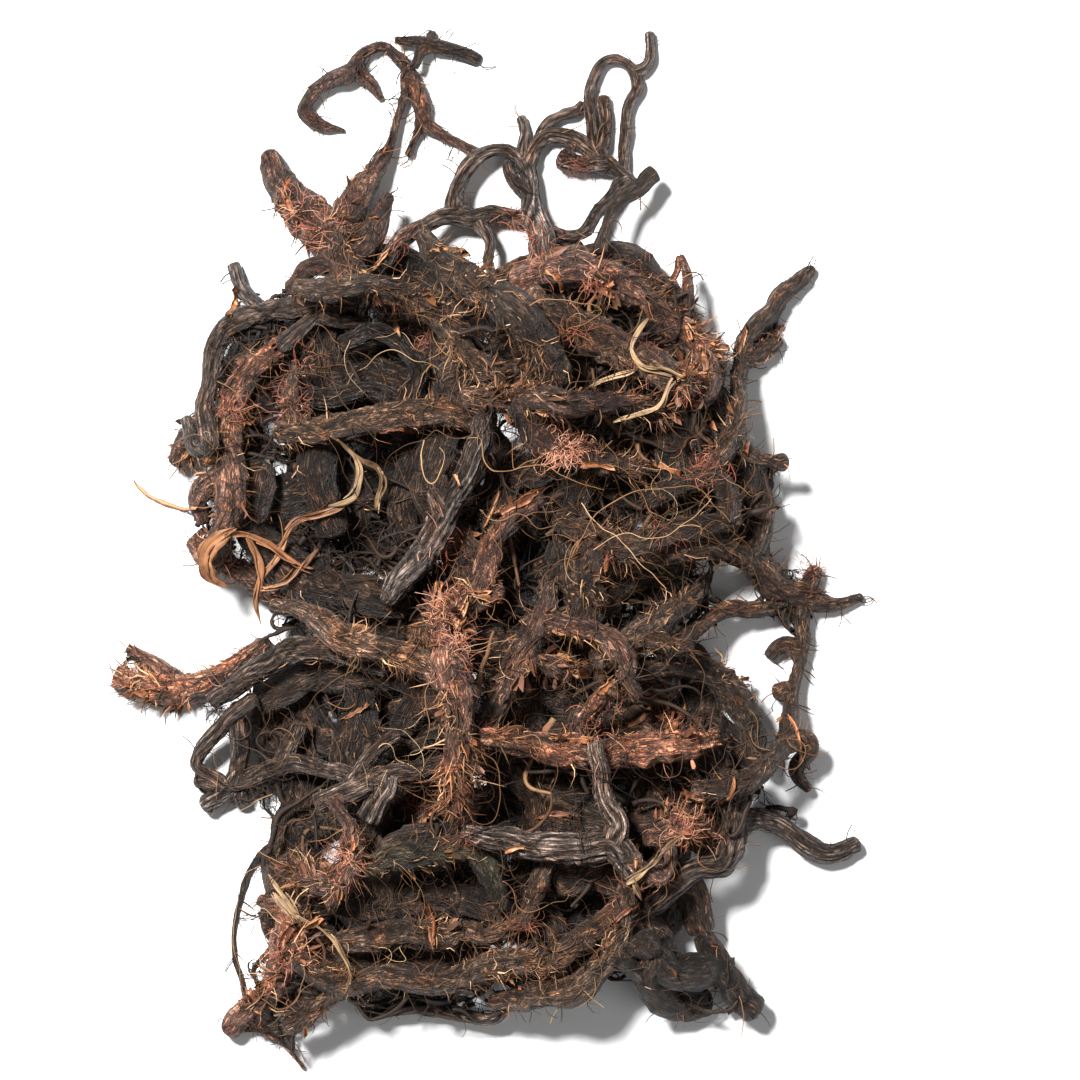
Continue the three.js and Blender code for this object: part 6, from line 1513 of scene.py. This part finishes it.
def threadMesh(name, chains):
    # chains of edges with a radius at each point and one shade each
    points = np.vstack([chain[:, :3] for chain, _ in chains])
    radius = np.concatenate([chain[:, 3] for chain, _ in chains])
    shade = np.concatenate([np.full(len(chain), tone) for chain, tone in chains])
    reachOut = np.concatenate([np.linspace(0, 1, len(chain)) for chain, _ in chains])
    points[:, 2] = np.maximum(points[:, 2], radius + 0.05)
    edges, start = [], 0
    for chain, _ in chains:
        edges += [(start + k, start + k + 1) for k in range(len(chain) - 1)]
        start += len(chain)
    mesh = bpy.data.meshes.new(name)
    mesh.from_pydata(((points + shift) * mm).tolist(), edges, [])
    for key, values in (("threadRadius", radius * mm), ("hairShade", shade), ("reachOut", reachOut)):
        mesh.attributes.new(key, "FLOAT", "POINT").data.foreach_set("value", values.astype(np.float32))
    return mesh


def wander(rng, start, heading, length, radius, form, climb):
    # a thread that keeps turning a little, lies on what is below it and falls where nothing is
    step, bend = form["step"], form["bend"]
    count = max(4, int(length / step))
    turn = rng.normal(0, bend)
    x, y, z = start
    rows, outside = [], 0
    for k in range(count):
        share = k / (count - 1)
        rows.append((x, y, z, radius * (1 - 0.75 * share)))
        turn = 0.8 * turn + rng.normal(0, bend * 0.6)
        heading += turn + rng.normal(0, form["wobble"]) + (rng.random() < 0.15) * rng.normal(0, 0.8)
        x, y = x + step * math.cos(heading), y + step * math.sin(heading)
        z = z - form["fallEach"] * step + climb * step * (1 - 2 * share)
        z = min(max(topAt(x, y) + form["lieOn"], z, 0.3), threads["highest"])
        outside += topAt(x, y) <= 0
        if outside * step > threads["freeEnd"] and k > 3:
            break
    return smoothChain(np.array(rows))


def scatterTone(rng, tone, spread):
    return float(np.clip(tone + rng.normal(0, spread), 0, 1))


def smoothChain(rows, rounds=2):
    for _ in range(rounds):
        rows[1:-1, :3] = 0.25 * rows[:-2, :3] + 0.5 * rows[1:-1, :3] + 0.25 * rows[2:, :3]
    return rows


def stemSpots(rng, count, weights):
    # random places on the stems, more of them where the bark is shaggy, as place, radius and heading
    spots = []
    for piece in laidRhizomes:
        for path in piece["paths"]:
            rows = piece["spine"][path]
            heading = np.arctan2(np.gradient(rows[:, 1]), np.gradient(rows[:, 0]))
            spots += [(*row[:4], turn, weights[piece["bark"]]) for row, turn in zip(rows, heading)]
    spots = np.array(spots)
    seen = spots[:, 2] + spots[:, 3] > np.array([topAt(x, y) for x, y in spots[:, :2]]) - 5
    share = spots[:, 5] * seen
    return spots[rng.choice(len(spots), count, p=share / share.sum())]


def growThreads():
    rng = np.random.default_rng(threads["seed"])
    chains = []
    shortest, longest = threads["length"]
    for x, y, z, radius, along, _ in stemSpots(rng, threads["count"], threads["share"]):
        heading = along + rng.uniform(-1, 1) * math.pi / 2
        start = (x + math.cos(heading) * radius * 0.4, y + math.sin(heading) * radius * 0.4, z + radius * 0.5)
        length = shortest + (longest - shortest) * rng.uniform() ** threads["longFew"]
        chain = wander(rng, start, heading, length, rng.uniform(*threads["radius"]), threads,
                       rng.uniform(*threads["climb"]))
        chains.append((chain, float(rng.beta(*threads["shade"]))))
    for x, y, spread, count, tone in nests["spots"]:
        for _ in range(count):
            px, py = x + rng.normal(0, spread), y + rng.normal(0, spread)
            if topAt(px, py) < nests["ground"]:
                continue
            chain = wander(rng, (px, py, topAt(px, py)), rng.uniform(0, 6.3), rng.uniform(*nests["length"]),
                           rng.uniform(*nests["radius"]), nests, rng.uniform(*nests["climb"]))
            chains.append((chain, scatterTone(rng, tone, nests["scatter"])))
    return chains + followRoots(rng)


def followRoots(rng):
    chains = []
    for radius, stops in longRoots:
        rows = curvePoints(stops)
        rows = np.column_stack([rows, np.linspace(radius, radius * 0.5, len(rows))])
        reach = lengthAlong(rows)
        along = np.arange(0, reach[-1], 1.0)
        chain = resample(rows, reach, along)
        for axis in range(3):
            chain[:, axis] += 0.8 * lineNoise(rng, along, 6) + 0.3 * lineNoise(rng, along, 2.5)
        chain[:, 3] *= 1 + 0.25 * lineNoise(rng, along, 3)
        chains.append((smoothChain(chain), float(rng.uniform(0.6, 0.9))))
    return chains


def tuftStrand(rng, x, y, ground, bend):
    heading = rng.uniform(0, 2 * math.pi)
    length, radius = rng.uniform(*tufts["length"]), rng.uniform(*tufts["radius"])
    step, steps = tufts["step"], int(length / tufts["step"])
    tilt, spin = rng.uniform(*tufts["tilt"]), rng.normal(0, bend)
    rows, z = [], ground - 0.6
    for k in range(steps):
        rows.append((x, y, z, radius * (1 - 0.6 * k / steps)))
        spin = 0.85 * spin + rng.normal(0, bend * 0.5)
        heading += spin
        tilt = 0.9 * tilt + rng.normal(-0.04, 0.22)
        x += step * math.cos(heading) * math.cos(tilt)
        y += step * math.sin(heading) * math.cos(tilt)
        z = max(z + step * math.sin(tilt), ground - 4, 0.3)
        z = min(z, ground + tufts["rise"], threads["highest"])
    return smoothChain(np.array(rows))


def growTufts():
    rng = np.random.default_rng(tufts["seed"])
    chains = []
    for x, y, spread, count, tone, bend in tufts["spots"]:
        for _ in range(count):
            turn, away = rng.uniform(0, 2 * math.pi), spread * abs(rng.normal(0, 0.5))
            px, py = x + away * math.cos(turn), y + away * math.sin(turn)
            ground = topAt(px, py)
            if ground >= tufts["ground"]:
                strand = tuftStrand(rng, px, py, ground, bend)
                chains.append((strand, scatterTone(rng, tone, tufts["scatter"])))
    return chains


# matting: small roots and wool that fill the clump between its stems, within its outline

# lengths in millimetres; gaps that stay open and spots that are thickest as x, y, radius
matting = {
    "closeBy": 7, "nearBy": 7, "topEnd": 84, "step": 1.4, "depth": (0.1, 0.72),
    "turns": (0, 0.6, -0.6, 1.2, -1.2, 2.0, -2.0, 3.1),
    "openGaps": [
        (-82, -118, 8), (-84, -104, 6), (-80, -134, 7), (100, -82, 8), (67, -133, 6), (-92, -108, 9),
        (-95, -124, 10), (-90, -140, 9), (-84, -152, 7), (-40, 60, 6), (-28, 51, 6), (-45, -130, 4),
        (60, 23, 3), (83, -13, 9), (70, 47, 4), (-70, 10, 4), (-88, -70, 10), (88, -70, 9), (72, -108, 12),
        (78, 75, 9), (95, -45, 8), (92, -33, 8), (92, -58, 7), (-100, 25, 6),
    ],
    "denseSpots": [
        (-51, -3, 8), (-16, -10, 7), (44, -23, 7), (-2, -81, 7), (-35, 1, 7), (-5, 11, 6), (-30, -8, 7),
    ],
    "roots": {"count": 620, "length": (12, 36), "radius": (0.40, 1.35), "bend": 0.22, "sides": 5, "seed": 62},
    "wool": {"count": 2000, "length": (8, 24), "radius": (0.13, 0.30), "bend": 0.34, "sides": 3, "seed": 63},
}


def grownMask(mask, by):
    # the mask widened by so many cells, in turn as a square and as a cross
    for k in range(by):
        wide = mask
        for axis in (0, 1):
            source = mask if k % 2 else wide
            wide = wide | np.roll(source, 1, axis) | np.roll(source, -1, axis)
        mask = wide
    return mask


def nearTop():
    # the height of the stems round each place
    high = topMap.copy()
    for _ in range(matting["nearBy"]):
        high = np.maximum.reduce([high] + [np.roll(high, way, axis) for axis in (0, 1) for way in (1, -1)])
    return high


insideMap = ~grownMask(~grownMask(topMap > 0, matting["closeBy"]), matting["closeBy"] + 1)
cellX, cellY = np.meshgrid(*(mapLow[axis] + np.arange(mapSize[axis]) for axis in (0, 1)), indexing="ij")
insideMap &= cellY < matting["topEnd"]
for x, y, radius in matting["openGaps"]:
    insideMap &= np.hypot(cellX - x, cellY - y) > radius
highMap = nearTop()


def isInside(x, y):
    i, j = int(round(x - mapLow[0])), int(round(y - mapLow[1]))
    return 0 <= i < mapSize[0] and 0 <= j < mapSize[1] and insideMap[i, j]


def mattingRoot(rng, form, i, j):
    # one that stays inside the clump: where it would leave, it turns as little as it can
    step = matting["step"]
    x, y = mapLow[0] + i + rng.uniform(-0.5, 0.5), mapLow[1] + j + rng.uniform(-0.5, 0.5)
    z = highMap[i, j] * rng.uniform(*matting["depth"])
    heading, spin, rise = rng.uniform(0, 2 * math.pi), rng.normal(0, form["bend"]), rng.normal(0, 0.15)
    radius, rows = rng.uniform(*form["radius"]), []
    steps = int(rng.uniform(*form["length"]) / step)
    for k in range(steps):
        thick = radius * (1 - 0.6 * k / steps) * rng.uniform(0.8, 1.2)
        rows.append((x, y, max(z, radius + 0.1), thick))
        spin = 0.7 * spin + rng.normal(0, form["bend"] * 0.6)
        heading += spin
        for turn in matting["turns"]:
            stepX, stepY = step * math.cos(heading + turn), step * math.sin(heading + turn)
            if isInside(x + stepX, y + stepY):
                break
        x, y, heading = x + stepX, y + stepY, heading + turn
        rise = 0.8 * rise + rng.normal(0, 0.13)
        z = min(max(z + rise * step, 0.5), max(highMap[i, j] - 5, 3))
    # painted shade: the lower a root lies in the clump, the darker its tone
    tone = rng.beta(2, 3) * (0.35 + 0.65 * min(1, z / 30))
    return smoothChain(np.array(rows)), float(tone)


def growMatting(form):
    # most of it over the bare ground inside the clump, and where a stem lies deep
    rng = np.random.default_rng(form["seed"])
    weight = insideMap * (0.15 + 2.5 * (topMap < 4) + 0.6 * (topMap < highMap - 12))
    for x, y, radius in matting["denseSpots"]:
        weight = weight + 5 * insideMap * (np.hypot(cellX - x, cellY - y) < radius)
    cells = rng.choice(weight.size, form["count"], p=(weight / weight.sum()).ravel())
    return [mattingRoot(rng, form, *divmod(int(cell), mapSize[1])) for cell in cells]


threadMaker = threadTree()
for name, chains, sides, material, slotName in (
        ("wiry_roots", growThreads(), 3, threadFinish, "brown_bark"),
        ("curly_tufts", growTufts(), 3, coralFibre, "red_brown_bark"),
        ("small_roots", growMatting(matting["roots"]), matting["roots"]["sides"], matRoot, "dark_bark"),
        ("wool", growMatting(matting["wool"]), matting["wool"]["sides"], matRoot, "dark_bark")):
    made = runTree(name, threadMesh(name, chains), threadMaker,
                   {"Sides": sides, "Thickness": 1.0, "Material": material})
    ridePiece(made, slotName)
    print(name, triangles(made), "triangles")


# torn bark: curled scraps and short sticks that lie on the clump

shreds = {
    "seed": 77, "gap": 0.8, "columns": 7, "thickness": 0.28, "lift": (2.5, 1.5), "ragged": 1.0,
    "lowest": 0.05,
    # x, y, heading in degrees, length, width, tone
    "spots": [
        (61, 53, 20, 9, 5, 0.62), (67, 47, -40, 10, 6, 0.66), (72, 52, 80, 8, 4, 0.55),
        (45, 28, -5, 17, 3.5, 0.6), (52, 33, 150, 9, 4, 0.5), (-10, 67, 10, 9, 3, 0.72),
        (40, 69, 100, 8, 2.5, 0.95), (2, 8, 40, 16, 5, 0.62), (-2, 4, 55, 12, 3, 0.7),
        (8, 13, 30, 12, 3, 0.66), (-14, -18, 15, 12, 4, 0.85), (-6, -18, -10, 10, 4, 0.9),
        (-18, -24, 80, 9, 5, 0.7), (-12, -30, 60, 9, 4, 0.78), (4, -26, 35, 11, 4, 0.6),
        (10, -31, 60, 9, 3, 0.8), (27, -44, -20, 5, 5, 0.62), (35, -52, 50, 7, 4, 0.7),
        (31, -60, 30, 6, 3, 0.85), (54, -60, 24, 20, 2.2, 0.42), (76, -90, 40, 13, 2.4, 0.45),
        (64, -84, -25, 10, 4, 0.5), (104, -75, 70, 16, 2.2, 0.5), (66, -87, 10, 9, 3, 0.6),
        (-20, -94, 60, 8, 4, 0.6), (-25, -95, 20, 7, 3, 0.55), (-17, -116, 33, 11, 2, 1),
        (-22, -120, -65, 12, 5, 0.55), (-19, -125, -80, 9, 4, 0.62), (-2, -142, -60, 14, 2.6, 0.45),
        (11, -136, 20, 7, 5, 0.6), (-69, -140, 100, 12, 5, 0.38), (-64, -130, 60, 9, 4, 0.42),
        (-78, -150, 40, 9, 4, 0.4), (-64, 106, 110, 8, 4, 0.6), (-70, 112, 80, 8, 4, 0.5),
        (-48, 103, 40, 10, 4, 0.55), (-88, 74, 60, 10, 4, 0.55), (-82, 32, 20, 9, 5, 0.58),
        (-97, 11, 200, 24, 2.4, 0.8), (83, 62, 60, 8, 3, 0.6), (99, 72, 200, 8, 3, 0.6),
        (16, -93, 15, 10, 3, 0.5), (20, -66, 5, 12, 4, 0.66), (42, -62, -8, 12, 4, 0.7),
        (58, -64, 10, 10, 4, 0.6), (-20, 96, 10, 10, 4, 0.6), (18, 90, -20, 9, 4, 0.66),
        (34, 80, 40, 8, 4, 0.6), (-30, 68, 120, 9, 3, 0.6), (-44, 88, 10, 12, 3, 0.7),
        (85, 28, 80, 8, 4, 0.5), (62, 66, -50, 8, 4, 0.55), (4, -104, 30, 8, 3, 0.5),
        (48, -110, 70, 9, 3, 0.5), (40, -128, 20, 9, 3, 0.45), (-50, -60, 30, 9, 3, 0.55),
        (-10, 18, 100, 9, 3, 0.7), (30, 24, 20, 9, 4, 0.6), (20, 40, -10, 10, 3, 0.5),
        (-36, 36, 15, 10, 3, 0.5),
    ],
}


def shredStrip(spot, rng):
    x, y, turn, length, width = spot
    steps = int(length / shreds["gap"]) + 2
    heading = math.radians(turn) + np.cumsum(rng.normal(0, 0.07, steps) + rng.normal(0, 0.04))
    spine = np.zeros((steps, 3))
    spine[:, 0] = x + np.cumsum(np.cos(heading)) * shreds["gap"]
    spine[:, 1] = y + np.cumsum(np.sin(heading)) * shreds["gap"]
    share = np.linspace(0, 1, steps)
    ground = np.array([topAt(*row[:2]) for row in spine])
    far, near = shreds["lift"]
    lift = rng.uniform(0.2, far) * share ** 2 + rng.uniform(0, near) * (1 - share) ** 2
    level = np.convolve(np.pad(ground, 3, "edge"), np.ones(7) / 7, "valid")
    spine[:, 2] = np.maximum(level, ground) + 0.3 + lift
    side = np.stack([-np.sin(heading), np.cos(heading), 0 * heading], 1)
    columns = np.linspace(-1, 1, shreds["columns"])
    curl = rng.uniform(0.6, 2.2) * (0.6 + 0.6 * share)[:, None] * columns + rng.normal(0, 0.25)
    wide = width * 0.36 * (0.75 + 0.3 * lineNoise(rng, share * 6, 1))[:, None] / np.maximum(np.abs(curl), 0.6)
    wide = wide * np.minimum(1, (1.15 - share) * 5)[:, None]
    top = spine[:, None] + side[:, None] * (np.sin(curl) * wide)[..., None]
    top[..., 2] += (1 - np.cos(curl)) * wide + rng.normal(0, 0.07, curl.shape)
    for row in (0, -1):
        tear = rng.normal(0, shreds["ragged"], (shreds["columns"], 1))
        top[row] += tear * [math.cos(heading[row]), math.sin(heading[row]), 0]
    half = np.array([0, 0, shreds["thickness"]])
    return np.concatenate([top, top[:, ::-1] - half], 1)


def growShreds():
    rng = np.random.default_rng(shreds["seed"])
    points, faces, shade, reachOut = [], [], [], []
    for *spot, tone in shreds["spots"]:
        ring = shredStrip(spot, rng)
        count, around = ring.shape[:2]
        start = sum(map(len, points))
        faces += [face + start for face in stripFaces(count, around)]
        points.append(ring.reshape(-1, 3))
        streaks = rng.normal(0, 0.22, (1, around)) + rng.normal(0, 0.10, (count, around))
        shade.append(np.clip(tone * 0.95 + streaks, 0, 1).ravel())
        reachOut.append(np.repeat(np.linspace(0, 1, count), around))
    skin = np.vstack(points)
    skin[:, 2] = np.maximum(skin[:, 2], shreds["lowest"])
    mesh = makeMesh("torn_bark", skin, faces, {
        "hairShade": np.concatenate(shade), "reachOut": np.concatenate(reachOut)})
    piece = addObject("torn_bark", mesh, tornBark)
    ridePiece(piece, "red_brown_bark")
    print("torn_bark", triangles(piece), "triangles")


growShreds()


# dry blades: thin crinkled strips that lie on the clump

bladeForm = {
    "ringGap": 1.0, "columns": 5, "thickness": 0.35, "crinkle": 0.6, "cup": 0.4, "widest": 2.6, "twist": 0.9,
    "strands": 3, "lowest": 0.05, "seed": 50,
}


def bladeStrip(spine, path, rng, strand):
    # strand 0 is the blade itself; the others are thin strips torn off beside it
    rows = spine[path]
    if strand:
        first = rng.integers(0, max(1, len(rows) // 2))
        rows = rows[first:first + max(4, int(len(rows) * rng.uniform(0.5, 0.9)))].copy()
        rows[:, :2] += rng.normal(0, 0.9, (1, 2)) + np.cumsum(rng.normal(0, 0.25, (len(rows), 2)), 0)
        rows[:, 2] += rng.uniform(0.2, 1.6)
        rows[:, 3] = rng.uniform(0.3, 0.5)
    reach = lengthAlong(rows)
    along = np.linspace(0, reach[-1], max(4, int(reach[-1] / bladeForm["ringGap"])))
    rows = resample(rows, reach, along)
    rows[:, :3] = smoothChain(rows.copy())[:, :3]
    ends = np.minimum(1, np.minimum(along + 1.2, reach[-1] - along + 0.5) / 5)
    wide = np.minimum(rows[:, 3] * 0.8, bladeForm["widest"]) * np.sqrt(ends)
    wide = wide * (1 + 0.3 * lineNoise(rng, along, 4))
    for axis in range(3):
        rows[:, axis] += 0.5 * lineNoise(rng, along, 6)
    heading = unit(np.gradient(rows[:, :3], axis=0))
    side = unit(np.cross([0, 0, 1], heading))
    twist = bladeForm["twist"] * lineNoise(rng, along, 11)
    columns = np.linspace(-1, 1, bladeForm["columns"])
    crinkle = np.stack([lineNoise(rng, along, 2.5) for _ in columns], 1) * bladeForm["crinkle"]
    crinkle *= np.minimum(1, wide / 2)[:, None]
    lift = crinkle + bladeForm["cup"] * wide[:, None] * columns ** 2
    lift = lift + np.sin(twist)[:, None] * columns * wide[:, None]
    across = rows[:, None, :3] + side[:, None] * (columns * wide[:, None] * np.cos(twist)[:, None])[..., None]
    half = np.array([0, 0, bladeForm["thickness"] / 2])
    top = across + np.stack([0 * lift, 0 * lift, lift], -1) + half
    ring = np.concatenate([top, top[:, ::-1] - 2 * half], 1)
    count, around = ring.shape[:2]
    grainAcross = np.tile(np.concatenate([columns, columns[::-1]]), (count, 1)) * wide[:, None]
    grain = np.stack([np.tile(along[:, None], (1, around)), grainAcross,
                      np.full((count, around), rng.uniform(0, 50))], -1)
    points = ring.reshape(-1, 3)
    points[:, 2] = np.maximum(points[:, 2], bladeForm["lowest"])
    return points, stripFaces(count, around), grain.reshape(-1, 3)


for number, blade in enumerate(laidBlades):
    rng = np.random.default_rng(bladeForm["seed"] + number)
    points, faces, grain = [], [], []
    for path, strand in itertools.product(blade["paths"], range(bladeForm["strands"])):
        stripPoints, strip, stripGrain = bladeStrip(blade["spine"], path, rng, strand)
        start = sum(map(len, points))
        faces += [face + start for face in strip]
        points.append(stripPoints)
        grain.append(stripGrain)
    grain = np.vstack(grain) * mm
    mesh = makeMesh(blade["name"] + "_strip", np.vstack(points), faces, {"grainSpace": grain})
    strip = addObject(blade["name"] + "_strip", mesh, bladeLooks[blade["colour"]])
    ridePiece(strip, {"orange": "orange_dry_blade", "straw": "pale_straw"}[blade["colour"]], blade["name"])
print("blades done")


# floor, lights and camera, in metres

studio = {
    "floorSize": 6.0, "floorHeight": -0.0002, "floorColour": (0.93, 0.93, 0.93), "skyStrength": 0.16,
    "keyPlace": (-0.85, 0.95, 1.8), "keySize": 0.5, "keyPower": 142,
    "fillPlace": (1.4, -0.9, 1.6), "fillSize": 1.6, "fillPower": 8,
    "cameraMiddle": (0.01747, 0.00667), "planeHeight": 0.02, "cameraFar": 2.0, "seenWidth": 0.36,
    "sensor": 36,
}


def addFloor():
    half, height = studio["floorSize"] / 2, studio["floorHeight"]
    corners = [(x * half, y * half, height) for x, y in ((-1, -1), (1, -1), (1, 1), (-1, 1))]
    mesh = bpy.data.meshes.new("floor")
    mesh.from_pydata(corners, [], [(0, 1, 2, 3)])
    made, _, shader = newMaterial("paleFloor", 0.9, 0.1)
    shader.inputs["Base Color"].default_value = (*studio["floorColour"], 1)
    addObject("floor", mesh, made)


def addLamp(name, place, size, power):
    lamp = bpy.data.lights.new(name, "AREA")
    lamp.shape, lamp.size, lamp.energy = "DISK", size, power
    made = bpy.data.objects.new(name, lamp)
    bpy.context.scene.collection.objects.link(made)
    made.location = place
    made.rotation_mode = "QUATERNION"
    made.rotation_quaternion = (-Vector(place)).to_track_quat("-Z", "Y")


def addCamera():
    lens = bpy.data.cameras.new("camera")
    lens.sensor_width = studio["sensor"]
    lens.lens = studio["sensor"] * studio["cameraFar"] / studio["seenWidth"]
    made = bpy.data.objects.new("camera", lens)
    bpy.context.scene.collection.objects.link(made)
    made.location = (*studio["cameraMiddle"], studio["planeHeight"] + studio["cameraFar"])
    bpy.context.scene.camera = made


def addSky():
    world = bpy.data.worlds.new("sky")
    world.use_nodes = True
    back = world.node_tree.nodes["Background"]
    back.inputs["Color"].default_value = (1, 1, 1, 1)
    back.inputs["Strength"].default_value = studio["skyStrength"]
    bpy.context.scene.world = world


addFloor()
addLamp("keyLight", studio["keyPlace"], studio["keySize"], studio["keyPower"])
addLamp("fillLight", studio["fillPlace"], studio["fillSize"], studio["fillPower"])
addSky()
addCamera()
bpy.context.scene.view_settings.view_transform = "Standard"
